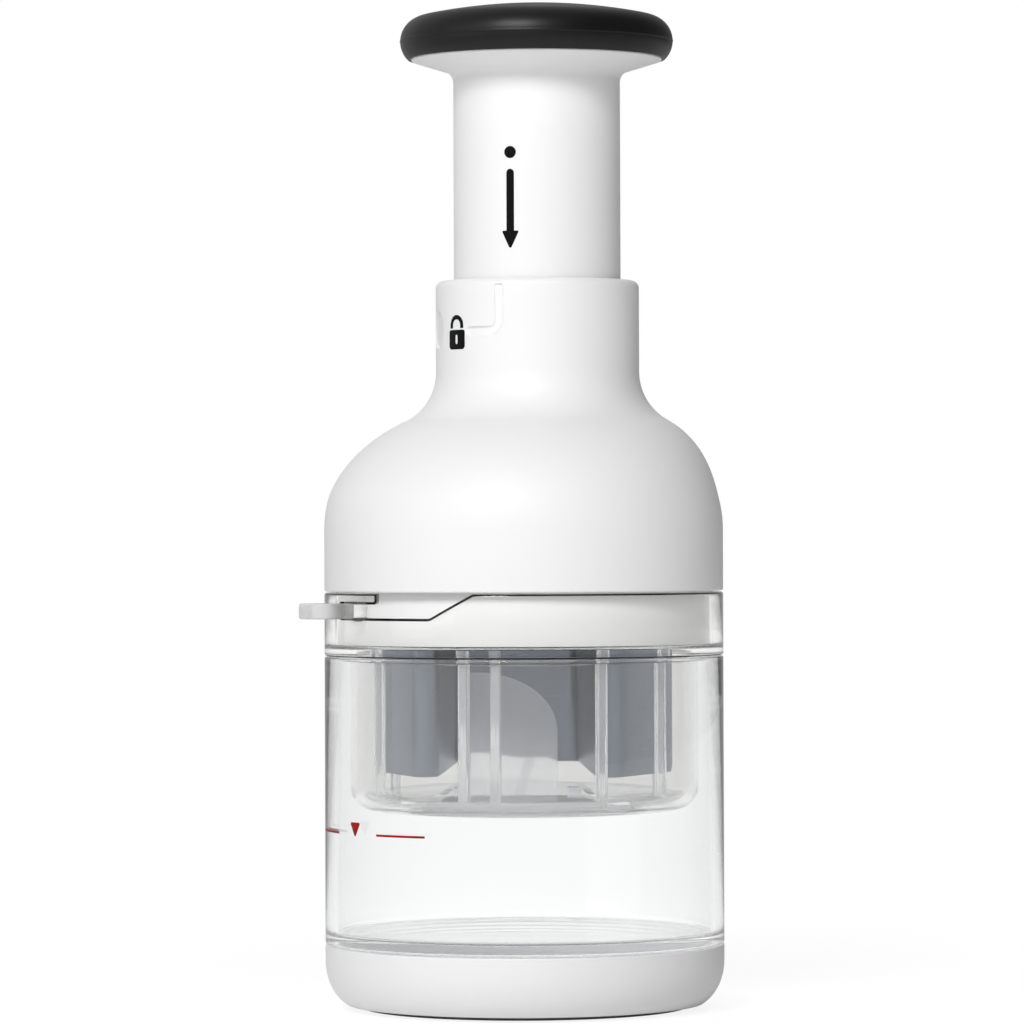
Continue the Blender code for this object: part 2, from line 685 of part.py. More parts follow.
def make_shell():
    """White bell: turned, then leaned back towards the neck, with screw bosses inside."""
    outer = bell_profile(0, shell_bottom + RIM_BEVEL, collar_top - COLLAR_ROUND, 5, 8)
    inner = bell_profile(SHELL_WALL, shell_bottom, collar_top - SHELL_WALL, 2, 3)
    inner.reverse()
    lip = guide_radius + GAP / 3
    crown = arc(collar_radius - COLLAR_ROUND, collar_top - COLLAR_ROUND, COLLAR_ROUND, 90, 0, 3)[:-1]
    profile = [
        (lip, collar_top),
        *crown,
        *outer,
        (BODY_RADIUS - RIM_BEVEL, shell_bottom),
        *inner,
        (lip, collar_top - SHELL_WALL),
    ]
    blank = turned("shell_blank", profile, LARGE_STEPS)
    mesh = evaluated_mesh(blank, "body_shell")
    bpy.data.objects.remove(blank, do_unlink=True)
    for vertex in mesh.vertices:
        vertex.co.y += lean(vertex.co.z)
    shell = mesh_object("body_shell", finish_mesh(mesh), white, housing_axis)
    for i in range(SCREW_COUNT):
        angle = radians(SCREW_START_DEG + 360 / SCREW_COUNT * i)
        at = (screw_circle * cos(angle), screw_circle * sin(angle))
        low = plate_top + GAP
        high = low + BOSS_HEIGHT
        boss = cylinder(f"boss_{i + 1}", BOSS_RADIUS, low, high, BOSS_STEPS, at)
        rib = box(
            f"boss_rib_{i + 1}",
            (screw_circle, -BOSS_RIB / 2, low + GAP),
            (BODY_RADIUS - SHELL_WALL / 2, BOSS_RIB / 2, high - GAP),
            angle,
        )
        bore_top = high - BOSS_ROOF
        bore = cylinder(
            f"boss_bore_{i + 1}", SCREW_SHANK + GAP, low - OVERRUN, bore_top, SCREW_STEPS, at
        )
        for helper in (boss, rib, bore):
            helper.parent = housing_axis
        join(boss, rib)
        join(shell, boss)
        cut(shell, bore)
    dimple_angle = radians(DIMPLE_DEG)
    tool = bmesh.new()
    bmesh.ops.create_cone(
        tool,
        cap_ends=True,
        segments=SMALL_STEPS,
        radius1=DIMPLE_RADIUS,
        radius2=DIMPLE_RADIUS,
        depth=2 * (DIMPLE_DEPTH + OVERRUN),
    )
    facing = Matrix.Rotation(dimple_angle, 4, "Z") @ Matrix.Rotation(radians(90), 4, "Y")
    reach = collar_radius + OVERRUN
    place = Vector(
        (reach * cos(dimple_angle), reach * sin(dimple_angle) + NECK_OFFSET, collar_top - DIMPLE_DROP)
    )
    bmesh.ops.transform(tool, matrix=Matrix.Translation(place) @ facing, verts=tool.verts)
    mesh = bpy.data.meshes.new("collar_dimple")
    tool.to_mesh(mesh)
    tool.free()
    cut(shell, mesh_object("collar_dimple", mesh, None, housing_axis))


def make_frame():
    """White skirt and bearing plate, with the windows for the nut, screws and tab."""
    profile = [
        (0, plate_top),
        (skirt_radius - RIM_BEVEL, plate_top),
        (skirt_radius, plate_top - RIM_BEVEL),
        (skirt_radius, skirt_bottom + RIM_BEVEL),
        (skirt_radius - RIM_BEVEL, skirt_bottom),
        (skirt_inner, skirt_bottom),
        (skirt_inner, plate_bottom),
        (0, plate_bottom),
    ]
    frame = turned("skirt_frame", profile, LARGE_STEPS, white, housing_axis)
    nut_hole = cylinder(
        "nut_hole", NUT_BODY_RADIUS + GAP, plate_bottom - OVERRUN, plate_top + OVERRUN, SMALL_STEPS
    )
    cut(frame, parented(nut_hole, housing_axis))
    for i in range(SCREW_COUNT):
        angle = radians(SCREW_START_DEG + 360 / SCREW_COUNT * i)
        at = (screw_circle * cos(angle), screw_circle * sin(angle))
        head_top = screw_head_bottom + SCREW_HEAD
        hole = stepped_pin(
            f"plate_hole_{i + 1}",
            SCREW_HEAD_RADIUS + GAP,
            SCREW_SHANK + GAP,
            plate_bottom - OVERRUN,
            head_top + GAP,
            plate_top + OVERRUN,
            at,
        )
        cut(frame, parented(hole, housing_axis))
        stepped_pin(
            f"frame_screw_{i + 1}",
            SCREW_HEAD_RADIUS,
            SCREW_SHANK,
            screw_head_bottom,
            head_top,
            plate_top + GAP + SCREW_BITE,
            at,
            steel,
            housing_axis,
        )
    window = box(
        "tab_window",
        (-TAB_NECK_WIDTH / 2 - GAP, -skirt_radius - OVERRUN, slot_bottom),
        (TAB_NECK_WIDTH / 2 + GAP, -skirt_inner + OVERRUN, slot_top),
    )
    cut(frame, parented(window, housing_axis))


def make_tab():
    """Translucent tab: neck through the window and slot, a collar block, and a rounded leaf."""
    low = slot_bottom + GAP
    high = slot_top - GAP
    neck_end = BODY_RADIUS + GAP
    collar_end = neck_end + TAB_COLLAR_LENGTH
    tip = BODY_RADIUS + TAB_REACH
    tab = box(
        "release_tab",
        (-TAB_NECK_WIDTH / 2, -collar_end + GAP, low),
        (TAB_NECK_WIDTH / 2, -skirt_inner, high),
        0.0,
        frosted,
        housing_axis,
    )
    collar = box(
        "tab_collar",
        (-TAB_COLLAR_WIDTH / 2, -collar_end, low - GAP / 2),
        (TAB_COLLAR_WIDTH / 2, -neck_end, high + GAP / 2),
    )
    half = TAB_WIDTH / 2
    start = -collar_end + GAP
    outline = [(half, start), (-half, start)]
    for side in (-1, 1):
        for i in range(6):
            turn = radians(90 / 5 * i) if side < 0 else radians(90 - 90 / 5 * i)
            x = side * (half - TAB_CORNER + TAB_CORNER * cos(turn))
            outline.append((x, -tip + TAB_CORNER - TAB_CORNER * sin(turn)))
    leaf = outline_prism("tab_leaf", outline, high - low - 2 * TAB_THINNING)
    leaf.location.z = (low + high) / 2
    join(tab, parented(collar, housing_axis))
    join(tab, parented(leaf, housing_axis))


def make_sleeve():
    """Guide sleeve round the plunger: upper stop, wide bore, and the lock ledge with its notch."""
    foot = plate_top + GAP
    haunch_top = foot + SLEEVE_HAUNCH_HEIGHT
    haunch_radius = sleeve_radius + SLEEVE_HAUNCH
    ledge_top = ledge_bottom + LEDGE
    profile = [
        (guide_radius, sleeve_top),
        (sleeve_radius, sleeve_top),
        (sleeve_radius, haunch_top + SLEEVE_HAUNCH),
        (haunch_radius, haunch_top),
        (haunch_radius, foot + SLEEVE_FOOT),
        (SLEEVE_FOOT_RADIUS, foot + SLEEVE_FOOT),
        (SLEEVE_FOOT_RADIUS, foot),
        (wide_bore, foot),
        (wide_bore, ledge_bottom),
        (guide_radius, ledge_bottom),
        (guide_radius, ledge_top),
        (wide_bore, ledge_top),
        (wide_bore, stop_shoulder),
        (guide_radius, stop_shoulder),
    ]
    sleeve = turned("guide_sleeve", profile, MEDIUM_STEPS, natural, neck_fixed)
    notch = box(
        "ledge_notch",
        (guide_radius - OVERRUN, -LUG_WIDTH / 2 - RUN, ledge_bottom - OVERRUN),
        (wide_bore + GAP, LUG_WIDTH / 2 + RUN, ledge_top + OVERRUN),
        radians(LUG_DEG),
    )
    cut(sleeve, parented(notch, neck_fixed))


def make_nut():
    """Square-holed nut in the plate; it turns the twisted rod as the rod passes."""
    low = plate_bottom + GAP
    flange_bottom = plate_top + GAP
    profile = [
        (0, nut_top),
        (NUT_FLANGE_RADIUS, nut_top),
        (NUT_FLANGE_RADIUS, flange_bottom),
        (NUT_BODY_RADIUS, flange_bottom),
        (NUT_BODY_RADIUS, low),
        (0, low),
    ]
    nut = turned("drive_nut", profile, SMALL_STEPS, natural, housing_axis)
    half = ROD_SIDE / 2 + NUT_CLEARANCE
    hole = box("nut_square", (-half, -half, low - OVERRUN), (half, half, nut_top + OVERRUN))
    cut(nut, parented(hole, housing_axis))


def make_retainer():
    """Ring in the skirt that the cage's flange rests on."""
    outer = skirt_inner - GAP
    inner = post_outer + RUN
    low = retainer_top - RETAINER_HEIGHT
    turned(
        "cage_retainer",
        [(inner, retainer_top), (outer, retainer_top), (outer, low), (inner, low)],
        LARGE_STEPS,
        natural,
        housing_axis,
    )


def make_spring():
    """Return spring round the rod, between the nut and the push disc."""
    wire = SPRING_WIRE / 2
    low = nut_top + GAP + wire
    high = disc_bottom - GAP - wire
    dead_rise = SPRING_WIRE + RUN
    live_turns = SPRING_TURNS - 2 * SPRING_DEAD_TURNS
    live_rise = (high - low - 2 * SPRING_DEAD_TURNS * dead_rise) / live_turns
    points = []
    for i in range(SPRING_TURNS * SPRING_TURN_POINTS + 1):
        turns = i / SPRING_TURN_POINTS
        lower = min(turns, SPRING_DEAD_TURNS)
        upper = max(0.0, turns - SPRING_TURNS + SPRING_DEAD_TURNS)
        live = turns - lower - upper
        angle = 2 * pi * turns
        height = low + (lower + upper) * dead_rise + live * live_rise
        points.append(Vector((SPRING_RADIUS * cos(angle), SPRING_RADIUS * sin(angle), height)))
    curve = bpy.data.curves.new("return_spring", "CURVE")
    curve.dimensions = "3D"
    curve.bevel_depth = wire
    curve.bevel_resolution = 1
    curve.use_fill_caps = True
    line = curve.splines.new("POLY")
    line.points.add(len(points) - 1)
    for target, point in zip(line.points, points):
        target.co = (*point, 1)
    curve.materials.append(steel)
    spring = bpy.data.objects.new("return_spring", curve)
    spring.parent = housing_axis
    parts.objects.link(spring)
    least = min(
        (points[i] - points[j]).length
        for i in range(len(points))
        for j in range(i + SPRING_TURN_POINTS // 2, len(points))
    )
    print(f"return_spring: least gap to itself {(least - SPRING_WIRE) / mm:.2f} mm")


def make_push_disc():
    """Disc inside the tube that carries the rod while the tube turns round it."""
    radius = tube_inner - GAP
    disc = turned(
        "push_disc",
        [(0, disc_top), (radius, disc_top), (radius, disc_bottom), (0, disc_bottom)],
        MEDIUM_STEPS,
        natural,
        neck_carried,
    )
    hole = cylinder(
        "journal_hole", JOURNAL_RADIUS + GAP, disc_bottom - OVERRUN, disc_top + OVERRUN, SCREW_STEPS
    )
    cut(disc, parented(hole, plunger_axis))


def make_plunger():
    """White tube with its flared plate, the ledge under the push disc, and the lock lug."""
    ledge_inner = tube_inner - DISC_LEDGE
    bend = arc(PLUNGER_RADIUS + FLARE_FILLET, flare_start, FLARE_FILLET, 90 + FLARE_RISE_DEG, 180, 4)
    profile = [
        (tube_inner, flare_top),
        (FLARE_RADIUS - RIM_BEVEL, flare_top),
        (FLARE_RADIUS - RIM_BEVEL, flare_rim + GAP),
        (FLARE_RADIUS, flare_rim),
        *bend,
        (PLUNGER_RADIUS, tube_bottom),
        (ledge_inner, tube_bottom),
        (ledge_inner, disc_bottom - GAP),
        (tube_inner, disc_bottom - GAP),
    ]
    tube = turned("plunger_tube", profile, MEDIUM_STEPS, white, knob_axis)
    lug = box(
        "lock_lug",
        (PLUNGER_RADIUS - PLUNGER_WALL / 2, -LUG_WIDTH / 2, tube_bottom + SINK),
        (lug_radius - GAP, LUG_WIDTH / 2, lug_top),
        radians(LUG_DEG),
    )
    join(tube, parented(lug, knob_axis))
    for i in range(KNOB_SCREW_COUNT):
        at = knob_screw_place(i)
        hole = cylinder(
            f"flare_hole_{i + 1}",
            SCREW_SHANK + GAP,
            flare_top - KNOB_SCREW_BITE - GAP,
            flare_top + OVERRUN,
            SCREW_STEPS,
            at,
        )
        cut(tube, parented(hole, knob_axis))


def knob_screw_place(index):
    angle = 2 * pi * index / KNOB_SCREW_COUNT + pi / 2
    return (knob_screw_circle * cos(angle), knob_screw_circle * sin(angle))


def make_knob():
    """Hard core screwed to the flared plate, and the soft dome drawn over it."""
    spigot = tube_inner - GAP
    spigot_inner = spigot - CORE_SPIGOT_WALL
    profile = [
        (0, core_top),
        (core_radius - RIM_BEVEL, core_top),
        (core_radius, core_top - RIM_BEVEL),
        (core_radius, core_bottom),
        (spigot, core_bottom),
        (spigot, disc_top + GAP),
        (spigot_inner, disc_top + GAP),
        (spigot_inner, core_bottom),
        (0, core_bottom),
    ]
    core = turned("knob_core", profile, MEDIUM_STEPS, natural, knob_axis)
    head_top = core_top - GAP
    head_bottom = head_top - SCREW_HEAD
    for i in range(KNOB_SCREW_COUNT):
        at = knob_screw_place(i)
        hole = stepped_pin(
            f"core_hole_{i + 1}",
            SCREW_SHANK + GAP,
            SCREW_HEAD_RADIUS + GAP,
            core_bottom - OVERRUN,
            head_bottom - GAP,
            core_top + OVERRUN,
            at,
        )
        cut(core, parented(hole, knob_axis))
        stepped_pin(
            f"knob_screw_{i + 1}",
            SCREW_SHANK,
            SCREW_HEAD_RADIUS,
            flare_top - KNOB_SCREW_BITE,
            head_bottom,
            head_top,
            at,
            steel,
            knob_axis,
        )

    join_deg = degrees(atan(dome_drop / grip_edge_centre))
    dome = arc(0, grip_top - GRIP_DOME, GRIP_DOME, 90, join_deg, 3)
    dome[0] = (0, grip_top)
    edge = arc(grip_edge_centre, grip_centre_height, GRIP_EDGE, join_deg, -GRIP_LOWER_DEG, 9)[1:]
    lip_height = edge[-1][1]
    pocket = FLARE_RADIUS - RIM_BEVEL + GAP
    profile = [
        *dome,
        *edge,
        (pocket, lip_height),
        (pocket, flare_top + GAP),
        (core_radius + GAP, flare_top + GAP),
        (core_radius + GAP, core_top + GAP),
        (0, core_top + GAP),
    ]
    turned("knob_grip", profile, MEDIUM_STEPS, soft_black, knob_axis)


def make_rod():
    """Twisted square rod with a threaded lower end and a grooved journal on top."""
    square_top = disc_bottom - GAP
    square_bottom = shoulder_height
    half = ROD_SIDE / 2
    nut_middle = (plate_bottom + nut_top) / 2
    shape = bmesh.new()
    start_turn = -twist_rate * (square_bottom - nut_middle)
    corners = [(-half, -half), (half, -half), (half, half), (-half, half)]
    start = [shape.verts.new((x, y, square_bottom)) for x, y in corners]
    face = shape.faces.new(start)
    bmesh.ops.rotate(shape, verts=start, cent=(0, 0, 0), matrix=Matrix.Rotation(start_turn, 3, "Z"))
    rise = (square_top - square_bottom) / ROD_SEGMENTS
    for i in range(ROD_SEGMENTS):
        grown = bmesh.ops.extrude_face_region(shape, geom=[face])["geom"]
        ring = [item for item in grown if isinstance(item, bmesh.types.BMVert)]
        if i:
            shape.faces.remove(face)
        face = next(item for item in grown if isinstance(item, bmesh.types.BMFace))
        bmesh.ops.translate(shape, verts=ring, vec=(0, 0, rise))
        turn = Matrix.Rotation(-twist_rate * rise, 3, "Z")
        bmesh.ops.rotate(shape, verts=ring, cent=(0, 0, 0), matrix=turn)
    bmesh.ops.recalc_face_normals(shape, faces=shape.faces)
    mesh = bpy.data.meshes.new("drive_rod")
    shape.to_mesh(mesh)
    shape.free()
    rod = mesh_object("drive_rod", mesh, steel, blade_axis)
    clip_bottom = disc_top + GAP
    clip_top = clip_bottom + CLIP_THICKNESS
    journal = turned(
        "rod_journal",
        [
            (0, clip_top + GAP + CLIP_THICKNESS),
            (JOURNAL_RADIUS, clip_top + GAP + CLIP_THICKNESS),
            (JOURNAL_RADIUS, clip_top + GAP / 2),
            (JOURNAL_RADIUS - GROOVE_DEPTH, clip_top + GAP / 2),
            (JOURNAL_RADIUS - GROOVE_DEPTH, clip_bottom - GAP / 2),
            (JOURNAL_RADIUS, clip_bottom - GAP / 2),
            (JOURNAL_RADIUS, square_top - OVERRUN),
            (0, square_top - OVERRUN),
        ],
        SCREW_STEPS,
    )
    join(rod, parented(journal, blade_axis))
    thread = cylinder(
        "rod_thread", THREAD_RADIUS, hub_bottom + RUN, square_bottom + OVERRUN, SCREW_STEPS
    )
    join(rod, parented(thread, blade_axis))

    clip_inner = JOURNAL_RADIUS - GROOVE_DEPTH + GAP
    clip = turned(
        "shaft_clip",
        [
            (clip_inner, clip_top),
            (CLIP_RADIUS, clip_top),
            (CLIP_RADIUS, clip_bottom),
            (clip_inner, clip_bottom),
        ],
        CLIP_STEPS,
        steel,
        blade_axis,
    )
    mouth = box(
        "clip_mouth",
        (0, -CLIP_MOUTH / 2, clip_bottom - OVERRUN),
        (CLIP_RADIUS + OVERRUN, CLIP_MOUTH / 2, clip_top + OVERRUN),
    )
    cut(clip, parented(mouth, blade_axis))


def blade_path():
    corners = [
        Vector((blade_reach * cos(radians(a)), blade_reach * sin(radians(a)))) for a in BLADE_CORNERS_DEG
    ]
    return rounded_path(corners, BLADE_BEND, 4)


def make_blades():
    """Zigzag steel strip, the hub that grips its top edge, and the nut under the hub."""
    path = blade_path()
    ribbon("zigzag_blade", path, BLADE_THICKNESS, blade_bottom, blade_top, steel, plan_blades)
    hub = ribbon(
        "blade_hub", longer(path, BLADE_THICKNESS), HUB_BAR, hub_bottom, hub_bar_top, natural, plan_blades
    )
    second, third, fourth, fifth = (
        Vector((blade_reach * cos(radians(a)), blade_reach * sin(radians(a))))
        for a in BLADE_CORNERS_DEG[1:5]
    )
    left_x = (second.x + third.x) / 2
    right_x = (fourth.x + fifth.x) / 2
    back_y = (third.y + fourth.y) / 2
    arm_across = box(
        "hub_arm_across", (left_x, -HUB_ARM / 2, hub_bottom), (right_x, HUB_ARM / 2, hub_bar_top - GAP)
    )
    arm_back = box(
        "hub_arm_back", (-HUB_ARM / 2, 0, hub_bottom), (HUB_ARM / 2, back_y, hub_bar_top - GAP)
    )
    boss = cylinder("hub_boss", HUB_BOSS_RADIUS, hub_bottom, hub_boss_top, SMALL_STEPS)
    for helper in (arm_across, arm_back, boss):
        join(hub, parented(helper, plan_blades))
    groove = ribbon(
        "hub_groove",
        longer(path, BLADE_THICKNESS / 2),
        BLADE_THICKNESS + 2 * GAP,
        hub_bottom - OVERRUN,
        blade_top + GAP,
    )
    cut(hub, parented(groove, plan_blades))
    bore = cylinder(
        "hub_bore", THREAD_RADIUS + GAP, hub_bottom - OVERRUN, hub_boss_top + OVERRUN, SCREW_STEPS
    )
    pocket = cylinder(
        "hub_pocket", HEX_RADIUS + GAP, hub_bottom - OVERRUN, hub_bottom + HEX_HEIGHT + 2 * GAP, 6
    )
    cut(hub, parented(bore, plan_blades))
    cut(hub, parented(pocket, plan_blades))
    nut = cylinder(
        "hub_nut", HEX_RADIUS, hub_bottom + GAP, hub_bottom + GAP + HEX_HEIGHT, 6, (0, 0), steel, plan_blades
    )
    thread = cylinder(
        "nut_thread",
        THREAD_RADIUS + GAP,
        hub_bottom - OVERRUN,
        hub_bottom + HEX_HEIGHT + OVERRUN,
        SCREW_STEPS,
    )
    cut(nut, parented(thread, plan_blades))


def make_cage():
    """Clear stripper: slotted disc, posts, hanging flange, arched fin and two upstands."""
    disc = [(0, cage_top), (cage_radius, cage_top), (cage_radius, cage_bottom), (0, cage_bottom)]
    cage = turned("blade_cage", disc, LARGE_STEPS, clear, plan_cage)
    slot = ribbon(
        "cage_slot",
        longer(blade_path(), RUN),
        BLADE_THICKNESS + 2 * RUN,
        cage_bottom - OVERRUN,
        cage_top + OVERRUN,
    )
    cut(cage, parented(slot, plan_cage))
    for number, turn_deg in enumerate(POSTS_DEG, 1):
        post = box(
            f"cage_post_{number}",
            (post_inner, -POST_WIDTH / 2, cage_bottom + GAP),
            (post_outer, POST_WIDTH / 2, cage_flange_bottom + GAP),
            radians(turn_deg),
        )
        join(cage, parented(post, plan_cage))
    flange_inner = post_inner - GAP
    flange_outer = post_outer + CAGE_FLANGE_REACH
    flange = turned(
        "cage_flange",
        [
            (flange_inner, cage_flange_top),
            (flange_outer, cage_flange_top),
            (flange_outer, cage_flange_bottom),
            (flange_inner, cage_flange_bottom),
        ],
        LARGE_STEPS,
    )
    join(cage, parented(flange, plan_cage))
    fin_base = cage_top - CAGE_DISC / 2
    rise = FIN_HEIGHT
    outline = [(FIN_LEFT, fin_base), (FIN_RIGHT, fin_base)]
    for i in range(9):
        turn = radians(90 / 8 * i)
        x = FIN_RIGHT - FIN_ARCH_WIDTH * (1 - cos(turn))
        outline.append((x, cage_top + rise - FIN_ARCH_HEIGHT * (1 - sin(turn))))
    outline.append((FIN_LEFT, cage_top + rise))
    fin = outline_prism("cage_fin", outline, FIN_THICKNESS)
    fin.rotation_euler = (radians(90), 0, 0)
    fin.location.y = -FIN_FRONT
    join(cage, parented(fin, plan_cage))
    edge = box(
        "fin_edge",
        (FIN_LEFT, -FIN_FRONT - FIN_EDGE / 2, fin_base),
        (FIN_LEFT + FIN_EDGE, -FIN_FRONT + FIN_EDGE / 2, cage_top + rise + SINK),
    )
    join(cage, parented(edge, plan_cage))
    for name, x in (("left", -UPSTAND_FRONT - UPSTAND_WIDTH), ("right", UPSTAND_FRONT - UPSTAND_WIDTH)):
        upstand = box(
            f"upstand_{name}",
            (x, -FIN_FRONT - FIN_EDGE - UPSTAND_DEPTH, fin_base),
            (x + UPSTAND_WIDTH, -FIN_FRONT - FIN_EDGE, cage_top + UPSTAND_HEIGHT),
        )
        join(cage, parented(upstand, plan_cage))


clear_scene()
parts = collection("food_chopper")
helpers = collection("cutters", hidden=True)

white = material("white_plastic", WHITE, 0.28)
natural = material("natural_plastic", NATURAL, 0.45)
clear = material("clear_plastic", CLEAR, 0.06, alpha=0.3)
frosted = material("frosted_plastic", CLEAR, 0.35, alpha=0.6)
soft_black = material("soft_black_rubber", SOFT_BLACK, 0.55)
dark_rubber = material("dark_rubber", GREY, 0.7)
seal_grey = material("seal_rubber", GREY, 0.6)
steel = material("stainless_steel", STEEL, 0.25, metallic=1.0)

# Empties on the joint axes: each carries the pieces of one moving body
base_axis = axis_empty("base_axis")
cup_axis = axis_empty("cup_axis", base_axis)
guard_axis = axis_empty("guard_axis", cup_axis)
housing_axis = axis_empty("housing_axis", guard_axis)
neck_fixed = axis_empty("neck_fixed", housing_axis, (0, NECK_OFFSET, 0))
plunger_axis = axis_empty("plunger_axis", housing_axis)
neck_carried = axis_empty("neck_carried", plunger_axis, (0, NECK_OFFSET, 0))
knob_axis = axis_empty("knob_axis", plunger_axis, (0, NECK_OFFSET, 0))
blade_axis = axis_empty("blade_axis", plunger_axis)
plan_blades = axis_empty("plan_blades", blade_axis)
plan_blades.rotation_euler.z = radians(PLAN_TURN_DEG)
cage_axis = axis_empty("cage_axis", housing_axis)
plan_cage = axis_empty("plan_cage", cage_axis)
plan_cage.rotation_euler.z = radians(PLAN_TURN_DEG)

make_base()
make_cup()
make_guard()
make_shell()
make_frame()
make_tab()
make_sleeve()
make_nut()
make_retainer()
make_spring()
make_push_disc()
make_plunger()
make_knob()
make_rod()
make_blades()
make_cage()

print(f"height {grip_top / mm:.1f} mm")
print(f"knob {2 * grip_radius / mm:.1f} mm, body {2 * BODY_RADIUS / mm:.1f} mm")
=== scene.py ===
# %% [markdown]
# # A hand-pressed food chopper, dressed for a studio picture
#
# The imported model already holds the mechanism: twenty-eight solids on eight moving bodies. Its
# meshes have few facets, because a physics engine reads them. This lesson gives every visible piece
# a finer skin and a real finish, then lights it and places the camera. Nothing moves away from the
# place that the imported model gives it.

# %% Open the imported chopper
import json
from math import asin, atan2, ceil, cos, degrees, hypot, pi, radians, sin, sqrt, tan

import bmesh
import bpy
from mathutils import Matrix, Vector


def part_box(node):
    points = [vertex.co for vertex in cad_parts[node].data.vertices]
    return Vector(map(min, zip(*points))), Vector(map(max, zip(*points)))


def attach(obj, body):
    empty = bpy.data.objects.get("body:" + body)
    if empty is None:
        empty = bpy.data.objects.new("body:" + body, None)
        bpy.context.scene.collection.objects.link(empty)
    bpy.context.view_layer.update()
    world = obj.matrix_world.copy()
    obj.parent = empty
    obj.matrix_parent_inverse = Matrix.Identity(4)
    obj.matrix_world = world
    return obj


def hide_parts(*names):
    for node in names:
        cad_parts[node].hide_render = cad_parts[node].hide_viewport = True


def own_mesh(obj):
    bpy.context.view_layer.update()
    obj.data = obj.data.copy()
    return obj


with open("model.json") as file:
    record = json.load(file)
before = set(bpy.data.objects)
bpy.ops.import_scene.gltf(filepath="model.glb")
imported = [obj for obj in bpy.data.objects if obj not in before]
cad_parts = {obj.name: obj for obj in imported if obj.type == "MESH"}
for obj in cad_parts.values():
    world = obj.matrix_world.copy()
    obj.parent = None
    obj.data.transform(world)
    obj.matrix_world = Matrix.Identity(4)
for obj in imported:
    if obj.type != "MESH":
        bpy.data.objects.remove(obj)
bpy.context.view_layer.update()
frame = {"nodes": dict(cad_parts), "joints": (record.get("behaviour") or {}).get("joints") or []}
nodes = frame["nodes"]
scene = bpy.context.scene
mm = 0.001

# %% [markdown]
# ## Sizes
#
# A turned object is ruled by a few radii and heights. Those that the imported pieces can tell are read
# from their boxes, so this script can't drift away from them. The others, such as a wall or a
# fillet, repeat the solid's own values. All sizes are millimetres, and `mm` turns them into metres.

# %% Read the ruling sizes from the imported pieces
def low_high(node):
    low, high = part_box(node)
    return low / mm, high / mm


def heights(node):
    low, high = low_high(node)
    return low.z, high.z


def radius_of(node):
    return low_high(node)[1].x


body_radius = radius_of("base_shell")
base_bottom, base_top = heights("base_shell")
cup_foot, cup_rim = heights("cup")
bowl_bottom, ring_top = heights("blade_guard")
shell_foot, shell_top = heights("body_shell")
tube_bottom, flare_top = heights("plunger_tube")
grip_radius, grip_top = radius_of("knob_grip"), heights("knob_grip")[1]
gap = 0.3
cup_wall = 3.0
cup_inner = body_radius - cup_wall
ring_bottom = cup_rim + gap
neck_offset = 4.25
neck = Vector((0, neck_offset, 0)) * mm
print(f"body {2 * body_radius:.1f} mm across, collar top at {shell_top:.1f}, knob top at {grip_top:.1f}")

# %% [markdown]
# ## Writing node maths as Python
#
# A material is a graph of nodes. Built one link at a time, even `1 - mask` takes four lines. The
# small class below wraps one socket and gives it Python's operators, so a formula in a material
# reads like a formula. Every other kind of node comes from its one method `node`, which sets the
# node's settings first and then fills or links its sockets.

# %% A socket that can be used in sums
class Wire:
    """One socket of a node tree. Sums with it add Math nodes."""

    def __init__(self, tree, socket=None):
        self.tree = tree
        self.socket = socket

    def node(self, kind, settings=None, sockets=None, take=0):
        made = self.tree.nodes.new(kind)
        for name, value in (settings or {}).items():
            setattr(made, name, value)
        for name, value in (sockets or {}).items():
            self.feed(made.inputs[name], value)
        return Wire(self.tree, made.outputs[take])

    def feed(self, target, value):
        if isinstance(value, Wire):
            self.tree.links.new(value.socket, target)
        else:
            target.default_value = value

    def maths(self, operation, *values):
        return self.node("ShaderNodeMath", {"operation": operation}, dict(enumerate(values)))

    def vector(self, operation, *values, take="Vector"):
        return self.node("ShaderNodeVectorMath", {"operation": operation}, dict(enumerate(values)), take)

    def __add__(self, other):
        return self.maths("ADD", self, other)

    def __sub__(self, other):
        return self.maths("SUBTRACT", self, other)

    def __rsub__(self, other):
        return self.maths("SUBTRACT", other, self)

    def __mul__(self, other):
        return self.maths("MULTIPLY", self, other)

    def __pow__(self, other):
        return self.maths("POWER", self, other)

    __radd__ = __add__
    __rmul__ = __mul__

    def ramp(self, start, end, low=0.0, high=1.0):
        """Eases from low to high while this value goes from start to end."""
        sockets = {"Value": self, "From Min": start, "From Max": end, "To Min": low, "To Max": high}
        return self.node("ShaderNodeMapRange", {"interpolation_type": "SMOOTHSTEP"}, sockets)

    def between(self, first, second):
        """The colour that is this share of the way from the first to the second."""
        settings = {"data_type": "RGBA"}
        return self.node("ShaderNodeMix", settings, {0: self, 6: first, 7: second}, take=2)


def grey(value):
    return (value, value, value, 1)


# %% What a material can ask about a point and about a ray
def point_on(start):
    """The point's place in metres, as its piece stands at rest."""
    return start.node("ShaderNodeTexCoord", take="Object")


def in_plan(start):
    """The same place without its height."""
    return start.vector("MULTIPLY", point_on(start), (1, 1, 0))


def off_axis(start):
    """The point's distance from the upright axis."""
    return start.vector("LENGTH", in_plan(start), take="Value")


def height_of(start):
    return start.node("ShaderNodeSeparateXYZ", sockets={"Vector": point_on(start)}, take="Z")


def asked_by(start, kind):
    """1 for this kind of ray and 0 for the others."""
    return start.node("ShaderNodeLightPath", take=f"Is {kind} Ray")


# %% [markdown]
# ## Finishes
#
# Each finish starts the same way: a Principled shader, whose constant values are set on its own
# sockets, and noise at a real scale that feeds the few sockets that may vary. A noise texture reads
# object coordinates, which are metres here, so a scale of 800 gives grains of about 1.2 mm. Bump
# heights are real heights too: a moulded skin is rough by hundredths of a millimetre.

